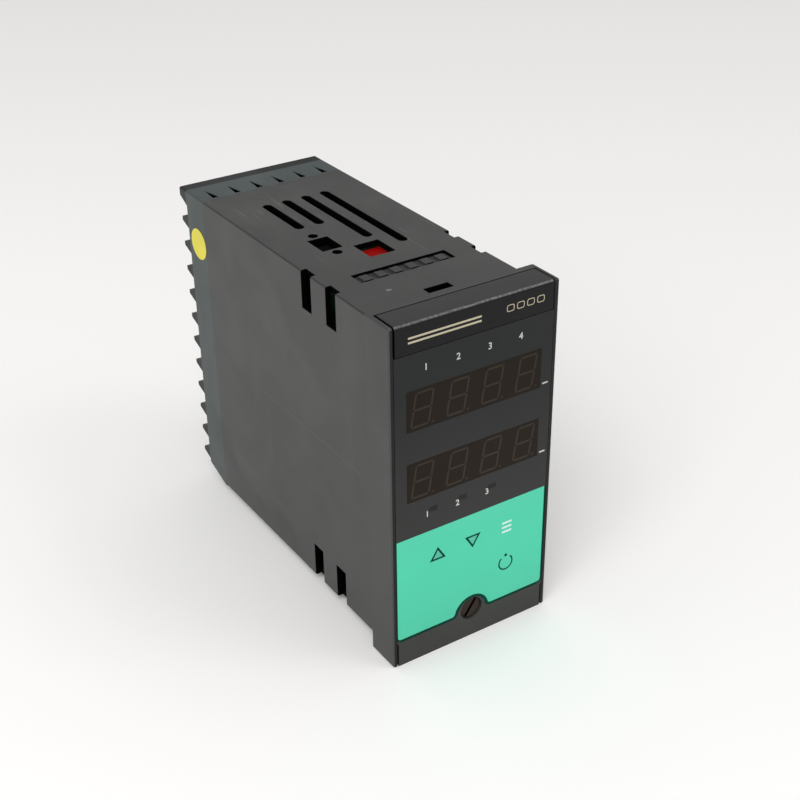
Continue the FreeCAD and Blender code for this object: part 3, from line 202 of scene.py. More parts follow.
def make_grain():
    """Spark-eroded mould texture: fine pits, and a slow drift of tone over the moulding."""
    tree, given, result = group("mould_grain", {"Size": 0.25}, ("Height", "Drift"))
    place = place_of(tree)
    scale = maths(tree, "DIVIDE", 1000.0, given["Size"])
    coarse = maths(tree, "MULTIPLY", scale, 0.6)
    pits = node(tree, "ShaderNodeTexVoronoi", {"Vector": place, "Scale": coarse}, feature="SMOOTH_F1")
    fine = maths(tree, "MULTIPLY", noise(tree, place, scale), 0.6)
    height = maths(tree, "ADD", fine, maths(tree, "MULTIPLY", pits.outputs[0], 0.4))
    tree.links.new(height, result["Height"])
    tree.links.new(noise(tree, place, 30.0, detail=3.0), result["Drift"])
    return tree


def dust(tree, place, amount):
    """Specks and a thin veil, most of it on upward faces and towards the rear."""
    normal = node(tree, "ShaderNodeNewGeometry").outputs["Normal"]
    up = node(tree, "ShaderNodeSeparateXYZ", {0: normal}).outputs["Z"]
    level = remap(tree, up, 0.2, 1.0, 0.3, 1.0)
    cells = node(tree, "ShaderNodeTexVoronoi", {"Vector": place, "Scale": 520.0})
    dots = remap(tree, cells.outputs["Distance"], 0.09, 0.05)
    dots = maths(tree, "MULTIPLY", dots, remap(tree, noise(tree, place, 160.0), 0.55, 0.62))
    veil = remap(tree, noise(tree, place, 55.0, detail=6.0), 0.45, 0.8, 0.0, 0.35)
    rearward = remap(tree, position(tree)["Y"], FLANGE_REAR, BLOCK_FRONT, 0.4, 1.3)
    return product(tree, level, rearward, amount, maths(tree, "MAXIMUM", dots, veil))


def scratches(tree, place):
    """Fine straight scratches that cross each other, in patches."""
    lines = []
    for turn, patch_scale in ((0.5, 45.0), (-0.9, 60.0), (1.3, 38.0)):
        along = {"Vector": place, "Rotation": (0.3, 0.2, turn), "Scale": (1900.0, 60.0, 60.0)}
        drawn = node(tree, "ShaderNodeMapping", along).outputs[0]
        thin = remap(tree, noise(tree, drawn, 1.0, detail=1.0), 0.70, 0.74)
        patch = remap(tree, noise(tree, place, patch_scale), 0.55, 0.65)
        lines.append(maths(tree, "MULTIPLY", thin, patch))
    return maths(tree, "MAXIMUM", maths(tree, "MAXIMUM", lines[0], lines[1]), lines[2])


def make_wear():
    """Handling marks: dust, smears that change the gloss, and scratches."""
    tree, given, result = group("handling", {"Dust": 0.2}, ("Specks", "Smear", "Scratch"))
    place = place_of(tree)
    tree.links.new(dust(tree, place, given["Dust"]), result["Specks"])
    rubbed = noise(tree, place, 40.0, distortion=1.2)
    tree.links.new(remap(tree, rubbed, 0.35, 0.7), result["Smear"])
    tree.links.new(scratches(tree, place), result["Scratch"])
    return tree


def make_inside_shade():
    """A mask of painted shade: 1 within the sleeve's walls, 0 on its outer skin, so that openings look dark.

    The sunk panel of the roof is part of the outer skin, and gets only a little of the painted shade.
    """
    tree, _, result = group("inside_sleeve_shade", {}, ("Inside",))
    x, y, z = position(tree)
    aside = maths(tree, "ABSOLUTE", x)
    across = remap(tree, aside, SLEEVE_HALF - 0.1 * MM, SLEEVE_HALF - 0.22 * MM)
    under = remap(tree, z, ROOF - 0.08 * MM, ROOF - 0.2 * MM)
    over = remap(tree, z, SLEEVE_FLOOR + 0.1 * MM, SLEEVE_FLOOR + 0.22 * MM)
    behind = remap(tree, y, FLANGE_REAR - 0.1 * MM, FLANGE_REAR + 0.1 * MM)
    inner = product(tree, across, under, over, behind)

    from_middle = maths(tree, "ABSOLUTE", maths(tree, "SUBTRACT", y, RECESS_MIDDLE))
    shallow = remap(tree, z, ROOF - RECESS_DEPTH * MM, ROOF - (RECESS_DEPTH - 0.05) * MM)
    narrow = remap(tree, aside, RECESS_HALF_WIDTH * MM, (RECESS_HALF_WIDTH - 0.1) * MM)
    short = remap(tree, from_middle, RECESS_HALF_LENGTH * MM, (RECESS_HALF_LENGTH - 0.1) * MM)
    recess = product(tree, shallow, narrow, short, 0.88)
    outside = maths(tree, "SUBTRACT", 1.0, recess)
    tree.links.new(maths(tree, "MULTIPLY", inner, outside), result["Inside"])
    return tree


GRAIN = make_grain()
WEAR = make_wear()
INSIDE_SHADE = make_inside_shade()


# Materials

DUST_COLOUR = (0.42, 0.40, 0.37, 1.0)
# The next three are painted shade: in openings and recesses, on faces that look to the front, and on the
# block's teeth.
DARK = (0.004, 0.004, 0.004, 1.0)
SHADED_FRONT_RIM = (0.005, 0.005, 0.005, 1.0)
DARK_TEETH = (0.006, 0.007, 0.007, 1.0)
CAP_TOP_TONE = (0.038, 0.038, 0.039, 1.0)
EDGE_HIGHLIGHT = (0.16, 0.16, 0.155, 1.0)
FOOT_REFLECTION = (0.030, 0.029, 0.029, 1.0)
LACQUER = (0.008, 0.050, 0.020, 1.0)
LACQUER_GAP = (0.003, 0.018, 0.007, 1.0)
SOLDER = (0.48, 0.48, 0.46, 1.0)

# Where some finishes change, in millimetres

MASK_SHADE_START = 5
MASK_SHADE_END = 7
FOOT_REFLECTION_START = 30
FOOT_REFLECTION_END = -8
SCREW_SLOT_HALF = 2.85
PIN_PITCH = 2.54
JOINT_ROWS_HALF = 30


def drifting(tree, grain, darker, lighter):
    """A tone that wanders between two colours over the moulding."""
    return blend_colour(tree, remap(tree, grain["Drift"], 0.35, 0.65), shade(darker), shade(lighter))


def moulded(name, colour, lighter, roughness, gloss, size=0.25, depth=0.01, dust_amount=0.12):
    """Satin moulded plastic with grain, a slow drift of tone, dust and smears."""
    material, tree, principled = shader(name)
    grain = use(tree, GRAIN, Size=size)
    wear = use(tree, WEAR, Dust=dust_amount)
    tone = drifting(tree, grain, colour, lighter)
    tone = blend_colour(tree, wear["Specks"], tone, DUST_COLOUR)
    rough = remap(tree, wear["Smear"], 0.0, 1.0, roughness - 0.04, roughness + 0.06)
    surface(tree, principled, tone, rough, gloss)
    relief(tree, principled, grain["Height"], depth)
    return material


def plain(name, colour, roughness=0.5, metallic=0.0, gloss=0.5, size=0.3, depth=0.006):
    """A small part's finish: one colour with a slight drift, and a fine texture."""
    material, tree, principled = shader(name)
    grain = use(tree, GRAIN, Size=size)
    darker = [channel * 0.85 for channel in colour]
    lighter = [min(1.0, channel * 1.12) for channel in colour]
    surface(tree, principled, drifting(tree, grain, darker, lighter), roughness, gloss, metallic)
    relief(tree, principled, grain["Height"], depth)
    return material


def make_pane(name, colour, roughness):
    """Smoked plastic of the display windows, dark brown."""
    material, tree, principled = shader(name)
    rough = remap(tree, use(tree, WEAR, Dust=0.0)["Smear"], 0.0, 1.0, roughness, roughness + 0.06)
    darker = [channel * 0.8 for channel in colour]
    tone = drifting(tree, use(tree, GRAIN, Size=0.5), darker, colour)
    surface(tree, principled, tone, rough, gloss=0.1)
    return material


def make_housing():
    """The sleeve's plastic: scratched roof, painted shade on front-facing faces and behind its openings."""
    material = moulded("housing_plastic", (0.050, 0.0505, 0.0495), (0.056, 0.0565, 0.0555), 0.46, 0.4)
    tree, principled, tone = reopened(material)
    _, forward, up = facing(tree)
    scratched = product(tree, use(tree, WEAR)["Scratch"], remap(tree, up, 0.8, 0.9), 0.25)
    tone = blend_colour(tree, scratched, tone, DUST_COLOUR)
    # Painted shade on faces that look to the front: darker, and a little metallic so that they mirror less.
    rim = remap(tree, forward, -0.8, -0.95)
    tone = blend_colour(tree, rim, tone, SHADED_FRONT_RIM)
    # Painted shade within the walls: near black, rough and metallic, so that openings look dark.
    inner = use(tree, INSIDE_SHADE)["Inside"]
    paint(tree, principled, inner, tone, DARK)
    rough = principled.inputs["Roughness"].links[0].from_socket
    tree.links.new(maths(tree, "MAXIMUM", rough, inner), principled.inputs["Roughness"])
    dull = maths(tree, "MAXIMUM", inner, maths(tree, "MULTIPLY", rim, 0.3))
    tree.links.new(dull, principled.inputs["Metallic"])
    return material


def make_block():
    """Terminal block plastic; its entries and the teeth behind its wall lie in shade."""
    material = moulded("block_plastic", (0.050, 0.066, 0.065), (0.056, 0.073, 0.072), 0.46, 0.4)
    tree, principled, tone = reopened(material)
    x, y, z = position(tree)
    teeth = remap(tree, y, BLOCK_WALL + 0.1 * MM, BLOCK_WALL + 0.4 * MM)
    tone = blend_colour(tree, teeth, tone, DARK_TEETH)
    across = remap(tree, maths(tree, "ABSOLUTE", x), SLEEVE_HALF - 0.3 * MM, SLEEVE_HALF - 0.5 * MM)
    under = remap(tree, z, ROOF - 0.1 * MM, ROOF - 0.3 * MM)
    before = remap(tree, y, BLOCK_WALL - 0.2 * MM, BLOCK_WALL - 0.4 * MM)
    entries = product(tree, across, under, before)
    paint(tree, principled, entries, tone, DARK)
    tree.links.new(entries, principled.inputs["Metallic"])
    return material


def make_cap():
    """Satin cap: dark in front, lighter facing up, with a painted highlight on its sloping front edge."""
    material = moulded(
        "cap_plastic", (0.003, 0.003, 0.004), (0.004, 0.004, 0.005), 0.38, 0.22, dust_amount=0.05
    )
    tree, principled, tone = reopened(material)
    _, forward, up = facing(tree)
    # Lighter on faces that look up.
    tone = blend_colour(tree, remap(tree, up, 0.8, 0.95), tone, CAP_TOP_TONE)
    # Painted highlight: a speckled bright line on the upper part of the sloping front edge.
    sloping = maths(tree, "MULTIPLY", remap(tree, up, 0.45, 0.6), remap(tree, forward, -0.45, -0.6))
    top = remap(tree, position(tree)["Z"], CAP_HIGH.z - 0.5 * MM, CAP_HIGH.z - 0.4 * MM)
    speckle = remap(tree, noise(tree, place_of(tree), 1400.0), 0.4, 0.6, 0.45, 1.0)
    paint(tree, principled, product(tree, sloping, top, speckle), tone, EDGE_HIGHLIGHT)
    return material


def make_mask():
    """The carrier behind the film, with painted shade towards its rear, which lies inside the sleeve."""
    material = moulded("mask_plastic", (0.040, 0.041, 0.037), (0.045, 0.046, 0.042), 0.5, 0.25)
    tree, principled, tone = reopened(material)
    back = position(tree)["Y"]
    # Painted shade on the part within the sleeve.
    rear = remap(tree, back, FRONT + MASK_SHADE_START * MM, FRONT + MASK_SHADE_END * MM)
    paint(tree, principled, rear, tone, DARK)
    return material


def make_film():
    """Matt film with a painted reflection of the floor: lighter towards its foot."""
    material = moulded(
        "film", (0.011, 0.012, 0.013), (0.013, 0.014, 0.015), 0.42, 0.24, size=0.16, dust_amount=0.03
    )
    tree, principled, tone = reopened(material)
    height = position(tree)["Z"]
    # Painted reflection: the film turns lighter towards its foot.
    foot = remap(tree, height, MIDDLE + FOOT_REFLECTION_START * MM, MIDDLE + FOOT_REFLECTION_END * MM)
    paint(tree, principled, foot, tone, FOOT_REFLECTION)
    return material


def make_screw():
    """Blackened screw with a brown cast; its slot is painted dark as shade."""
    material = plain("dark_screw", (0.044, 0.029, 0.023), 0.36, 0.9)
    tree, principled, tone = reopened(material)
    x, y, z = position(tree)
    rise = maths(tree, "SUBTRACT", z, SCREW_MIDDLE)
    squares = maths(tree, "ADD", maths(tree, "MULTIPLY", x, x), maths(tree, "MULTIPLY", rise, rise))
    central = remap(tree, maths(tree, "SQRT", squares), SCREW_SLOT_HALF * MM, (SCREW_SLOT_HALF - 0.1) * MM)
    # Painted shade deep in the slot.
    deep = remap(tree, y, SCREW_LOW.y + 0.3 * MM, SCREW_LOW.y + 0.45 * MM)
    paint(tree, principled, maths(tree, "MULTIPLY", central, deep), tone, DARK)
    return material


def board_plane(tree):
    """The two directions that lie in a board: X and Z, Y and Z, or X and Y."""
    aside, _, up = facing(tree)
    x, y, z = position(tree)
    upright = remap(tree, maths(tree, "ABSOLUTE", aside), 0.5, 0.6)
    lying = remap(tree, maths(tree, "ABSOLUTE", up), 0.5, 0.6)
    first = maths(tree, "ADD", x, maths(tree, "MULTIPLY", upright, maths(tree, "SUBTRACT", y, x)))
    second = maths(tree, "ADD", z, maths(tree, "MULTIPLY", lying, maths(tree, "SUBTRACT", y, z)))
    return node(tree, "ShaderNodeCombineXYZ", {0: first, 1: second}).outputs[0]


def make_board():
    """Green lacquer over copper tracks, with rows of soldered joints clear of the top and the foot."""
    material, tree, principled = shader("circuit_board")
    place = place_of(tree)
    maze = {"Vector": place, "Scale": 260.0, "Randomness": 0.6}
    cells = node(tree, "ShaderNodeTexVoronoi", maze, distance="MANHATTAN").outputs["Distance"]
    tracks = remap(tree, maths(tree, "PINGPONG", cells, 0.14), 0.085, 0.1)
    tone = blend_colour(tree, tracks, LACQUER_GAP, LACQUER)

    rows = {"Vector": board_plane(tree), "Scale": 1 / (PIN_PITCH * MM), "Randomness": 0.0}
    grid = node(tree, "ShaderNodeTexVoronoi", rows, voronoi_dimensions="2D").outputs["Distance"]
    clusters = remap(tree, noise(tree, place, 130.0, detail=0.0), 0.57, 0.59)
    from_middle = maths(tree, "ABSOLUTE", maths(tree, "SUBTRACT", position(tree)["Z"], MIDDLE))
    well_in = remap(tree, from_middle, (JOINT_ROWS_HALF + 1) * MM, JOINT_ROWS_HALF * MM)
    joints = product(tree, remap(tree, grid, 0.22, 0.17), clusters, well_in)
    tone = blend_colour(tree, joints, tone, SOLDER)
    surface(tree, principled, tone, 0.35, metallic=joints)
    relief(tree, principled, maths(tree, "ADD", maths(tree, "MULTIPLY", tracks, 0.1), joints), 0.3, 0.6)
    return material


PLAIN_FINISHES = {
    "sticker": {"colour": (0.80, 0.70, 0.045), "roughness": 0.4},
    "brass": {"colour": (0.72, 0.52, 0.22), "roughness": 0.3, "metallic": 1.0},
    "tinned_copper": {"colour": (0.68, 0.66, 0.62), "roughness": 0.35, "metallic": 1.0},
    "zinc_steel": {"colour": (0.60, 0.61, 0.62), "roughness": 0.32, "metallic": 1.0},
    "spring_steel": {"colour": (0.5, 0.5, 0.5), "roughness": 0.35, "metallic": 1.0},
    "display_case": {"colour": (0.02, 0.018, 0.016), "roughness": 0.6},
    "lamp": {"colour": (0.05, 0.02, 0.015), "roughness": 0.35},
    "key_plastic": {"colour": (0.45, 0.48, 0.47), "roughness": 0.5},
    "switch_stem": {"colour": (0.02, 0.02, 0.02), "roughness": 0.5},
    "switch_case": {"colour": (0.03, 0.03, 0.03), "roughness": 0.5},
    "connector_plastic": {"colour": (0.004, 0.004, 0.0045), "roughness": 0.8, "gloss": 0.05},
    "red_plastic": {"colour": (0.31, 0.0025, 0.002), "roughness": 0.45, "gloss": 0.15},
    "relay_case": {"colour": (0.015, 0.02, 0.04), "roughness": 0.35},
    "ferrite": {"colour": (0.03, 0.03, 0.03), "roughness": 0.6},
    "coil_tape": {"colour": (0.62, 0.42, 0.06), "roughness": 0.35},
    "capacitor_can": {"colour": (0.03, 0.035, 0.08), "roughness": 0.35},
    "chip_resin": {"colour": (0.02, 0.02, 0.02), "roughness": 0.6},
}
MATERIALS = {name: plain(name, **finish) for name, finish in PLAIN_FINISHES.items()}
MATERIALS.update(
    housing_plastic=make_housing(),
    block_plastic=make_block(),
    cap_plastic=make_cap(),
    mask_plastic=make_mask(),
    film=make_film(),
    smoked_pane=make_pane("smoked_pane", (0.018, 0.012, 0.008), 0.2),
    circuit_board=make_board(),
    dark_screw=make_screw(),
)

TURQUOISE_INK = moulded(
    "turquoise_ink", (0.083, 0.605, 0.396), (0.087, 0.625, 0.41), 0.42, 0.22, size=0.16, dust_amount=0.02
)
GREEN_LINE_INK = plain("green_line_ink", (0.0005, 0.055, 0.034), 0.45, gloss=0.03)
PALE_GREEN_INK = plain("pale_green_ink", (0.095, 0.545, 0.37), 0.45, gloss=0.25)
WHITE_INK = plain("white_ink", (0.62, 0.62, 0.60), 0.45, gloss=0.25)
ICON_WHITE_INK = plain("icon_white_ink", (0.72, 0.90, 0.84), 0.45, gloss=0.25)
BEIGE_INK = plain("beige_ink", (0.56, 0.50, 0.36), 0.45, gloss=0.25)
LAMP_TINT_INK = plain("lamp_tint_ink", (0.008, 0.007, 0.007), 0.35, gloss=0.25)
SEGMENT_TINT = plain("segment_tint", (0.037, 0.029, 0.021), 0.4, gloss=0.1)
FILM_WINDOW = make_pane("film_window", (0.017, 0.0115, 0.0075), 0.3)
PARTING_PLASTIC = plain("parting_plastic", (0.085, 0.085, 0.083), 0.5, gloss=0.4)
MOULDING_SCAR = plain("moulding_scar", (0.16, 0.16, 0.155), 0.5, gloss=0.4)


# The CAD pieces keep their shape, and get soft edges and their finish

SOFT_EDGES = {
    "housing": 0.1,
    "rear_terminal_block": 0.28,
    "name_cap": 0.2,
    "front_mask": 0.1,
    "front_film": 0.03,
    "retaining_screw": 0.15,
}
SMALL_EDGE = 0.06
WELD_GAP = 0.002
FLAT_ANGLE = math.radians(0.5)
SHARP_ANGLE = math.radians(35)


def soften(part, width):
    """Rounds every real edge of a part."""
    weld = part.modifiers.new("weld", "WELD")
    weld.merge_threshold = WELD_GAP * MM
    flat = part.modifiers.new("flatten", "DECIMATE")
    flat.decimate_type = "DISSOLVE"
    flat.angle_limit = FLAT_ANGLE
    bevel = part.modifiers.new("edges", "BEVEL")
    bevel.width = width * MM
    bevel.segments = 2
    bevel.limit_method = "ANGLE"
    bevel.angle_limit = SHARP_ANGLE
    part.modifiers.new("shading", "WEIGHTED_NORMAL")


def finish_cad_nodes():
    slots = {row["node"]: row["material_slot"] for row in frame["record"]["subparts"]}
    for name, part in frame["nodes"].items():
        part.data.materials.clear()
        part.data.materials.append(MATERIALS[slots[name]])
        part.data.shade_smooth()
        soften(part, SOFT_EDGES.get(name, SMALL_EDGE))


finish_cad_nodes()


# Help for the thin pieces: print, tints and moulding marks

INK = 0.015 * MM


def add_piece(name, mesh, material, body):
    mesh.materials.append(material)
    made = bpy.data.objects.new(name, mesh)
    bpy.context.scene.collection.objects.link(made)
    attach(made, body)


def mesh_from(name, build):
    """A mesh from a bmesh with its outer faces turned outwards."""
    bmesh.ops.recalc_face_normals(build, faces=build.faces)
    mesh = bpy.data.meshes.new(name)
    build.to_mesh(mesh)
    build.free()
    return mesh


def add_prism(build, outline, to_point, thickness):
    """A flat plate over an outline; to_point places (across, up, out) in the part's frame."""
    back = [build.verts.new(to_point(across, up, 0.0)) for across, up in outline]
    front = [build.verts.new(to_point(across, up, thickness)) for across, up in outline]
    count = len(outline)
    build.faces.new(front)
    build.faces.new(list(reversed(back)))
    for index in range(count):
        after = (index + 1) % count
        build.faces.new((back[index], back[after], front[after], front[index]))


def add_band(build, outer, inner, to_point, thickness, closed=True):
    """A flat band between two outlines with the same number of points."""
    count = len(outer)
    outer_back, inner_back, outer_front, inner_front = (
        [build.verts.new(to_point(across, up, out)) for across, up in line]
        for line, out in ((outer, 0.0), (inner, 0.0), (outer, thickness), (inner, thickness))
    )
    for index in range(count if closed else count - 1):
        after = (index + 1) % count
        build.faces.new((outer_front[index], outer_front[after], inner_front[after], inner_front[index]))
        build.faces.new((outer_back[index], inner_back[index], inner_back[after], outer_back[after]))
        build.faces.new((outer_back[index], outer_back[after], outer_front[after], outer_front[index]))
        build.faces.new((inner_back[index], inner_front[index], inner_front[after], inner_back[after]))
    if not closed:
        for end in (0, count - 1):
            build.faces.new((outer_back[end], outer_front[end], inner_front[end], inner_back[end]))


def on_front(face):
    """Places millimetre outlines on a plane that looks to the front; up is from the middle."""

    def to_point(across, up, out):
        return (across * MM, face - out, MIDDLE + up * MM)

    return to_point


def rounded_box(across, up, width, height, radius, steps=4):
    """Outline of a rectangle with rounded corners, round its middle."""
    points = []
    corners = ((1, 1, 0), (-1, 1, 90), (-1, -1, 180), (1, -1, 270))
    for side, end, start in corners:
        centre_across = across + side * (width / 2 - radius)
        centre_up = up + end * (height / 2 - radius)
        for step in range(steps + 1):
            angle = math.radians(start + 90 * step / steps)
            points.append((centre_across + radius * math.cos(angle), centre_up + radius * math.sin(angle)))
    return points


def arc(across, up, radius, steps, start=0.0, sweep=360.0):
    """Points along a circle, or along a part of it that starts and sweeps by so many degrees."""
    whole = abs(sweep - 360.0) < 1e-6
    angles = [math.radians(start + sweep * index / steps) for index in range(steps if whole else steps + 1)]
    return [(across + radius * math.cos(angle), up + radius * math.sin(angle)) for angle in angles]


def print_plates(name, outlines, face, material, thickness=INK):
    """Filled shapes printed on a front face of the instrument."""
    build = bmesh.new()
    for outline in outlines:
        add_prism(build, outline, on_front(face), thickness)
    add_piece(name, mesh_from(name, build), material, "instrument")


def print_bands(name, bands, face, material, closed=True):
    """Outlined shapes printed on a front face of the instrument."""
    build = bmesh.new()
    for outer, inner in bands:
        add_band(build, outer, inner, on_front(face), INK, closed)
    add_piece(name, mesh_from(name, build), material, "instrument")


# The film's turquoise field. Its lower edge laps over the joint between the film and the foot,
# which lie flush, and its dark line is narrower at the sides.

# The dark line is print, and along the film's edges and over the joint it is also painted shade of the gap.
FIELD_TOP = -9.8
FIELD_LINE = 0.8
FIELD_DROP = 0.95
FIELD_SPREAD = 0.1
LEFT_STRETCH = 0.6
RIGHT_STRETCH = 0.38
FIELD_LIFT = 0.002


def clip_above(build, height):
    """Cuts off a flat outline above a height."""
    everything = build.verts[:] + build.edges[:] + build.faces[:]
    bmesh.ops.bisect_plane(
        build, geom=everything, plane_co=(0, 0, height), plane_no=(0, 0, 1), clear_outer=True
    )


def field_outline(build, top):
    """The lower part of the film's front face as one flat face, lengthened over the foot."""
    build.from_mesh(frame["nodes"]["front_film"].data)
    bmesh.ops.remove_doubles(build, verts=build.verts, dist=WELD_GAP * MM)
    behind = [face for face in build.faces if face.normal.y > -0.99]
    bmesh.ops.delete(build, geom=behind, context="FACES")
    clip_above(build, top + 2 * FIELD_LINE * MM)
    bmesh.ops.dissolve_limit(build, angle_limit=FLAT_ANGLE, verts=build.verts[:], edges=build.edges[:])
    for vertex in build.verts:
        if vertex.co.z < top:
            vertex.co.z -= FIELD_DROP * MM
        if vertex.co.x < 0:
            vertex.co.x *= 1 - FIELD_SPREAD * MM / FILM_LOW.x


def film_field():
    """The turquoise field and the dark line round it."""
    top = MIDDLE + FIELD_TOP * MM
    build = bmesh.new()
    field_outline(build, top)
    inset = bmesh.ops.inset_region(
        build, faces=build.faces[:], thickness=FIELD_LINE * MM, use_boundary=True, use_even_offset=True
    )
    line_faces = set(inset["faces"])
    inner = {vertex for face in build.faces if face not in line_faces for vertex in face.verts}
    for vertex in inner:
        stretch = LEFT_STRETCH if vertex.co.x < 0 else RIGHT_STRETCH
        vertex.co.x *= 1 + stretch * MM / FILM_HIGH.x
    for face in build.faces:
        face.material_index = 1 if face in line_faces else 0
    clip_above(build, top)
    bmesh.ops.translate(build, vec=(0, -FIELD_LIFT * MM, 0), verts=build.verts)
    raised = bmesh.ops.extrude_face_region(build, geom=build.faces[:])
    moved = [item for item in raised["geom"] if isinstance(item, bmesh.types.BMVert)]
    bmesh.ops.translate(build, vec=(0, -INK, 0), verts=moved)
    mesh = mesh_from("film_field", build)
    add_piece("film_field", mesh, TURQUOISE_INK, "instrument")
    mesh.materials.append(GREEN_LINE_INK)


film_field()


# Signs over the keys

SIGN_LIFT = 0.003
FIELD_FACE = FILM_FACE - INK - SIGN_LIFT * MM
ARROW_HALF = 1.45
ARROW_RISE = 2.35
ARROW_LINE = 0.5
ARROW_SHIFT = 0.1
CORNER_REACH = 1.9
MENU_BAR = (3.0, 0.55, 0.12)
MENU_PITCH = 1.35
RING_RADIUS = 2.30
RING_HOLE = 1.88
RING_DROP = 0.6
RING_START = 130
RING_SWEEP = 280
RING_DOT = 0.45


def key_middle(name):
    """A key's middle in millimetres, across and up from the middle of the front."""
    low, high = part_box(name)
    return (low.x + high.x) / 2 / MM, ((low.z + high.z) / 2 - MIDDLE) / MM


def triangle(across, up, direction, grow=0.0):
    """A triangle round its middle, pointing up or down."""
    tip = up + direction * (ARROW_RISE / 2 + CORNER_REACH * grow)
    base = up - direction * (ARROW_RISE / 2 + grow)
    spread = ARROW_HALF + CORNER_REACH * grow
    return [(across - spread, base), (across + spread, base), (across, tip)]


def arrow_sign(name, key, direction):
    """A triangle in dark outline, with its own pale field inside."""
    across, up = key_middle(key)
    up += ARROW_SHIFT * direction
    inner = triangle(across, up, direction)
    outer = triangle(across, up, direction, grow=ARROW_LINE)
    print_bands(name, [(outer, inner)], FIELD_FACE, GREEN_LINE_INK)
    print_plates(f"{name}_field", [inner], FIELD_FACE, PALE_GREEN_INK)


def menu_sign():
    """Three short bars."""
    across, up = key_middle("menu_key")
    bars = [rounded_box(across, up + step * MENU_PITCH, *MENU_BAR) for step in (-1, 0, 1)]
    print_plates("menu_sign", bars, FIELD_FACE, ICON_WHITE_INK)


def mode_sign():
    """A ring, open at its top, with a dot in the gap."""
    across, up = key_middle("mode_key")
    up -= RING_DROP
    outer = arc(across, up, RING_RADIUS, 40, RING_START, RING_SWEEP)
    inner = arc(across, up, RING_HOLE, 40, RING_START, RING_SWEEP)
    print_bands("mode_sign", [(outer, inner)], FIELD_FACE, GREEN_LINE_INK, closed=False)
    dot = arc(across, up + RING_RADIUS, RING_DOT, 16)
    print_plates("mode_dot", [dot], FIELD_FACE, GREEN_LINE_INK)


arrow_sign("raise_sign", "raise_key", 1)
arrow_sign("lower_sign", "lower_key", -1)
menu_sign()
mode_sign()


# Numbers, window marks and lamp tints on the film

CAPITAL_SHARE = 0.69
NUMERAL_SWELL = 0.035
OUTPUT_PLACES = [(-14.0 + 9.0 * index, 35.9) for index in range(4)]
LOOP_PLACES = [(-13.7 + 8.9 * index, -4.6) for index in range(3)]
WINDOW_MARK = (1.7, 0.42, 0.1)
WINDOW_MARK_PLACES = ((20.95, 20.8), (20.95, 1.1))
LAMP_TINT_WIDTH = 2.5
LAMP_TINT_HEIGHT = 1.4
LAMP_TINT_CORNER = 0.3


def numerals(name, places, height):
    """Plain numbers 1, 2, 3 ... beside their lamps."""
    build = bmesh.new()
    turn = Matrix(((1, 0, 0, 0), (0, 0, -1, 0), (0, 1, 0, 0), (0, 0, 0, 1)))
    for index, (across, up) in enumerate(places):
        number = bpy.data.curves.new(f"{name}_{index}", "FONT")
        number.body = str(index + 1)
        number.size = height / CAPITAL_SHARE * MM
        number.resolution_u = 4
        number.extrude = INK / 2
        number.offset = NUMERAL_SWELL * MM
        shape = bpy.data.objects.new(number.name, number)
        drawn = bpy.data.meshes.new_from_object(shape)
        low = min(vertex.co.x for vertex in drawn.vertices)
        high = max(vertex.co.x for vertex in drawn.vertices)
        place = (across * MM - (low + high) / 2, FILM_FACE - INK / 2, MIDDLE + (up - height / 2) * MM)
        drawn.transform(Matrix.Translation(place) @ turn)
        build.from_mesh(drawn)
        bpy.data.objects.remove(shape)
        bpy.data.meshes.remove(drawn)
        bpy.data.curves.remove(number)
    add_piece(name, mesh_from(name, build), WHITE_INK, "instrument")


def window_marks():
    """A short bar to the right of each display window."""
    marks = [rounded_box(*place, *WINDOW_MARK) for place in WINDOW_MARK_PLACES]
    print_plates("window_marks", marks, FILM_FACE, WHITE_INK)


def loop_lamp_tints():
    """Tinted spots of the film in front of the three loop lamps."""
    up = ((LAMPS_LOW.z + LAMPS_HIGH.z) / 2 - MIDDLE) / MM
    first = LAMPS_LOW.x / MM + LAMP_TINT_WIDTH / 2
    pitch = (LAMPS_HIGH.x / MM - LAMP_TINT_WIDTH / 2 - first) / 2
    spot = (LAMP_TINT_WIDTH, LAMP_TINT_HEIGHT, LAMP_TINT_CORNER)
    spots = [rounded_box(first + pitch * index, up, *spot) for index in range(3)]
    print_plates("loop_lamp_tints", spots, FILM_FACE, LAMP_TINT_INK)


numerals("output_numerals", OUTPUT_PLACES, height=1.7)
numerals("loop_numerals", LOOP_PLACES, height=1.6)
window_marks()
loop_lamp_tints()


# Name cap: plain stripes and boxes where a name could stand

STRIPE = (20.2, 0.5, 0.1)
STRIPE_PLACES = ((-8.8, 43.2), (-8.8, 44.35))
BOX_PLACES = [(9.6 + 2.95 * index, 44.15) for index in range(4)]
BOX_OUTSIDE = (2.2, 1.8, 0.55)
BOX_INSIDE = (1.8, 1.4, 0.38)


def cap_stripes():
    stripes = [rounded_box(*place, *STRIPE) for place in STRIPE_PLACES]
    print_plates("cap_stripes", stripes, CAP_FACE, BEIGE_INK)


def cap_boxes():
    boxes = [(rounded_box(*place, *BOX_OUTSIDE), rounded_box(*place, *BOX_INSIDE)) for place in BOX_PLACES]
    print_bands("cap_boxes", boxes, CAP_FACE, BEIGE_INK)


cap_stripes()
cap_boxes()


# Display windows: the film's smoked part with the unlit digits showing in it

DIGIT_HEIGHT = 9.3
DIGIT_HALF = 2.45
STROKE = 0.55
SLANT = 0.17
SEGMENT_GAP = 0.12
DECIMAL_SHIFT = 1.2
DECIMAL_RADIUS = 0.32
FIRST_DIGIT = -15.0
DIGIT_PITCH = 10.0
WINDOW_HALF = 19.48
WINDOW_RISE = 5.43
WINDOW_SINK = 0.03


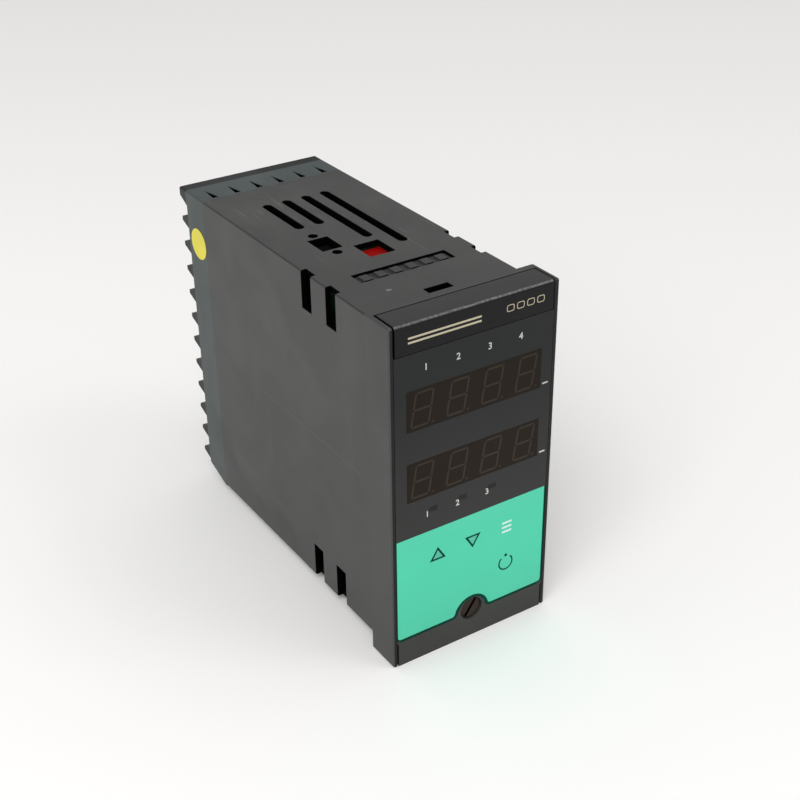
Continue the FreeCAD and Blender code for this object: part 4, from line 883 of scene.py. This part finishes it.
def segment(start, end, half):
    """A six-sided segment between two points."""
    (x0, z0), (x1, z1) = start, end
    length = math.hypot(x1 - x0, z1 - z0)
    along = ((x1 - x0) / length, (z1 - z0) / length)
    side = (-along[1] * half, along[0] * half)
    near = (x0 + along[0] * half, z0 + along[1] * half)
    far = (x1 - along[0] * half, z1 - along[1] * half)
    return [
        start,
        (near[0] + side[0], near[1] + side[1]),
        (far[0] + side[0], far[1] + side[1]),
        end,
        (far[0] - side[0], far[1] - side[1]),
        (near[0] - side[0], near[1] - side[1]),
    ]


def digit(across, up):
    """Seven slanted segments and a point."""
    reach = DIGIT_HEIGHT / 2 - STROKE / 2
    width = DIGIT_HALF - SEGMENT_GAP
    outlines = [segment((-width, level), (width, level), STROKE / 2) for level in (-reach, 0.0, reach)]
    for side in (-DIGIT_HALF, DIGIT_HALF):
        for low, high in ((-reach, 0.0), (0.0, reach)):
            outlines.append(segment((side, low + SEGMENT_GAP), (side, high - SEGMENT_GAP), STROKE / 2))
    outlines.append(arc(DIGIT_HALF + DECIMAL_SHIFT, -reach, DECIMAL_RADIUS, 12))
    return [[(across + x + SLANT * z, up + z) for x, z in outline] for outline in outlines]


def display_window(label, pane):
    """A smoked plate from the filter's face nearly to the film's, and four digits on it."""
    low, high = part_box(pane)
    middle = ((low.z + high.z) / 2 - MIDDLE) / MM
    face = FILM_FACE + WINDOW_SINK * MM
    corners = ((-1, -1), (1, -1), (1, 1), (-1, 1))
    plate = [(side * WINDOW_HALF, middle + end * WINDOW_RISE) for side, end in corners]
    print_plates(f"{label}_window", [plate], low.y, FILM_WINDOW, thickness=low.y - face)
    outlines = []
    for index in range(4):
        outlines += digit(FIRST_DIGIT + DIGIT_PITCH * index, middle)
    print_plates(f"{label}_digits", outlines, face, SEGMENT_TINT)


display_window("upper", "upper_filter")
display_window("lower", "lower_filter")


# Marks of moulding on the sleeve

MARK_RISE = 0.02
PARTING_UP = 0.9
PARTING_HALF = 0.14
GATE_ACROSS = -10.4
GATE_BACK = 21
GATE_STEPS = 20
GATE_RINGS = ((0.75, 0.0), (0.6, 0.05), (0.4, 0.07), (0.25, 0.03))
GATE_FLATTENING = 0.8
ROOF_POINT_PITCH = 6.9
ROOF_POINT_COUNT = 6
ROOF_POINT_LENGTH = 1.22
ROOF_POINT_OVERLAP = 0.05
ROOF_POINT_TIP = 0.9
ROOF_POINT_FLARE = 2.1
ROOF_POINT_HOLLOW = 2.2
ROOF_POINT_STEPS = 6


def parting_lines():
    """A faint witness line along each side of the sleeve."""
    build = bmesh.new()
    height = MIDDLE + PARTING_UP * MM
    half = PARTING_HALF * MM
    outline = [
        (FLANGE_REAR, height - half),
        (BLOCK_FRONT, height - half),
        (BLOCK_FRONT, height + half),
        (FLANGE_REAR, height + half),
    ]
    for side in (-1, 1):
        def to_point(back, up, out, side=side):
            return (side * (SLEEVE_HALF + out), back, up)

        add_prism(build, outline, to_point, MARK_RISE * MM)
    mesh = mesh_from("parting_lines", build)
    add_piece("parting_lines", mesh, PARTING_PLASTIC, "housing")


def gate_mark():
    """The scar where the moulding was cut from its sprue."""
    build = bmesh.new()
    across, back = GATE_ACROSS * MM, FRONT + GATE_BACK * MM
    loops = []
    for radius, rise in GATE_RINGS:
        ring = arc(0.0, 0.0, radius * MM, GATE_STEPS)
        loops.append(
            [build.verts.new((across + x, back + y * GATE_FLATTENING, ROOF + rise * MM)) for x, y in ring]
        )
    for outer, inner in zip(loops, loops[1:]):
        for index in range(GATE_STEPS):
            after = (index + 1) % GATE_STEPS
            build.faces.new((outer[index], outer[after], inner[after], inner[index]))
    build.faces.new(loops[-1])
    mesh = mesh_from("gate_mark", build)
    mesh.shade_smooth()
    add_piece("gate_mark", mesh, MOULDING_SCAR, "housing")


def roof_points():
    """The roof's rear edge runs up to each wedge notch in a point with hollow sides."""
    build = bmesh.new()

    def to_point(across, back, out):
        return (across * MM, BLOCK_FRONT + back * MM, ROOF + out)

    flank = []
    for step in range(ROOF_POINT_STEPS + 1):
        share = step / ROOF_POINT_STEPS
        spread = ROOF_POINT_TIP + ROOF_POINT_FLARE * (1 - share) ** ROOF_POINT_HOLLOW
        back = (ROOF_POINT_LENGTH + ROOF_POINT_OVERLAP) * share - ROOF_POINT_OVERLAP
        flank.append((spread, back))
    for index in range(ROOF_POINT_COUNT):
        middle = (index - (ROOF_POINT_COUNT - 1) / 2) * ROOF_POINT_PITCH
        left = [(middle - spread, back) for spread, back in flank]
        right = [(middle + spread, back) for spread, back in reversed(flank)]
        add_prism(build, left + right, to_point, MARK_RISE * MM)
    mesh = mesh_from("roof_points", build)
    add_piece("roof_points", mesh, MATERIALS["housing_plastic"], "housing")


parting_lines()
gate_mark()
roof_points()


# Floor, light and camera

FLOOR_HALF = 4.0
PALE_STUDIO = (0.84, 0.835, 0.83, 1.0)
DARK_STUDIO = (0.20, 0.20, 0.205, 1.0)
STUDIO_LIGHT = (0.665, 0.66, 0.655, 1.0)
STUDIO_BACKDROP = (0.90, 0.895, 0.885, 1.0)
PAPER_LIT_LEFT = (1.0, 0.995, 0.987, 1.0)
PAPER_SHADED_RIGHT = (0.966, 0.962, 0.954, 1.0)

CAMERA_LEFT = 166.0
CAMERA_BACK = 224.7
CAMERA_RISE = 182.7
CAMERA_YAW = math.radians(32.80)
CAMERA_PITCH = math.radians(-29.81)
CAMERA_ROLL = math.radians(-0.74)
CAMERA_LENS = 61.38


def make_floor():
    """A wide sheet of pale paper; the camera sees it a little whiter than it bounces light."""
    mesh = bpy.data.meshes.new("floor")
    corners = [(side * FLOOR_HALF, end * FLOOR_HALF, 0) for side, end in ((-1, -1), (1, -1), (1, 1), (-1, 1))]
    mesh.from_pydata(corners, [], [(0, 1, 2, 3)])
    floor = bpy.data.objects.new("floor", mesh)
    bpy.context.scene.collection.objects.link(floor)
    material, tree, principled = shader("floor_paper")
    seen = node(tree, "ShaderNodeLightPath").outputs["Is Camera Ray"]
    # Painted light and shade on the seen paper: lighter to the left, darker to the right, where it widens the
    # object's shadow.
    paper = blend_colour(tree, remap(tree, position(tree)["X"], -0.1, 0.15), PAPER_LIT_LEFT, PAPER_SHADED_RIGHT)
    surface(tree, principled, blend_colour(tree, seen, PALE_STUDIO, paper), 0.85, 0.1)
    mesh.materials.append(material)


def make_world():
    """A pale studio; glossy faces mirror its darker part, high up behind the object."""
    world = bpy.data.worlds.new("studio")
    bpy.context.scene.world = world
    world.use_nodes = True
    tree = world.node_tree
    way = node(tree, "ShaderNodeTexCoord").outputs["Generated"]
    _, y, z = node(tree, "ShaderNodeSeparateXYZ", {0: way}).outputs
    rear = maths(tree, "MULTIPLY", remap(tree, y, -0.35, 0.5), remap(tree, z, 0.12, 0.5))
    mirrored = blend_colour(tree, rear, PALE_STUDIO, DARK_STUDIO)
    ray = node(tree, "ShaderNodeLightPath").outputs
    tone = blend_colour(tree, ray["Is Glossy Ray"], STUDIO_LIGHT, mirrored)
    tone = blend_colour(tree, ray["Is Camera Ray"], tone, STUDIO_BACKDROP)
    background = tree.nodes["Background"]
    tree.links.new(tone, background.inputs["Color"])
    background.inputs["Strength"].default_value = 1.0


def make_lamp(name, place, size, power):
    """A square soft lamp that points at the middle of the object."""
    data = bpy.data.lights.new(name, "AREA")
    data.size = size
    data.energy = power
    lamp = bpy.data.objects.new(name, data)
    lamp.location = place
    lamp.rotation_mode = "QUATERNION"
    lamp.rotation_quaternion = (Vector((0, 0, MIDDLE)) - Vector(place)).to_track_quat("-Z", "Y")
    bpy.context.scene.collection.objects.link(lamp)


def make_camera():
    data = bpy.data.cameras.new("camera")
    data.lens = CAMERA_LENS
    data.sensor_width = 36.0
    camera = bpy.data.objects.new("camera", data)
    flat = math.cos(CAMERA_PITCH)
    forward = Vector((math.sin(CAMERA_YAW) * flat, math.cos(CAMERA_YAW) * flat, math.sin(CAMERA_PITCH)))
    level = Vector((math.cos(CAMERA_YAW), -math.sin(CAMERA_YAW), 0.0))
    upright = level.cross(forward)
    right = level * math.cos(CAMERA_ROLL) + upright * math.sin(CAMERA_ROLL)
    up = right.cross(forward)
    turn = Matrix((right, up, -forward)).transposed()
    place = Vector((-CAMERA_LEFT * MM, FRONT - CAMERA_BACK * MM, MIDDLE + CAMERA_RISE * MM))
    camera.matrix_world = Matrix.Translation(place) @ turn.to_4x4()
    bpy.context.scene.collection.objects.link(camera)
    bpy.context.scene.camera = camera


make_floor()
make_world()
make_lamp("top_front_lamp", place=(0.50, -0.60, 0.85), size=0.4, power=1.2)
make_lamp("left_front_lamp", place=(-0.65, -0.55, 0.85), size=0.8, power=6.4)
make_camera()
bpy.context.scene.view_settings.view_transform = "Standard"
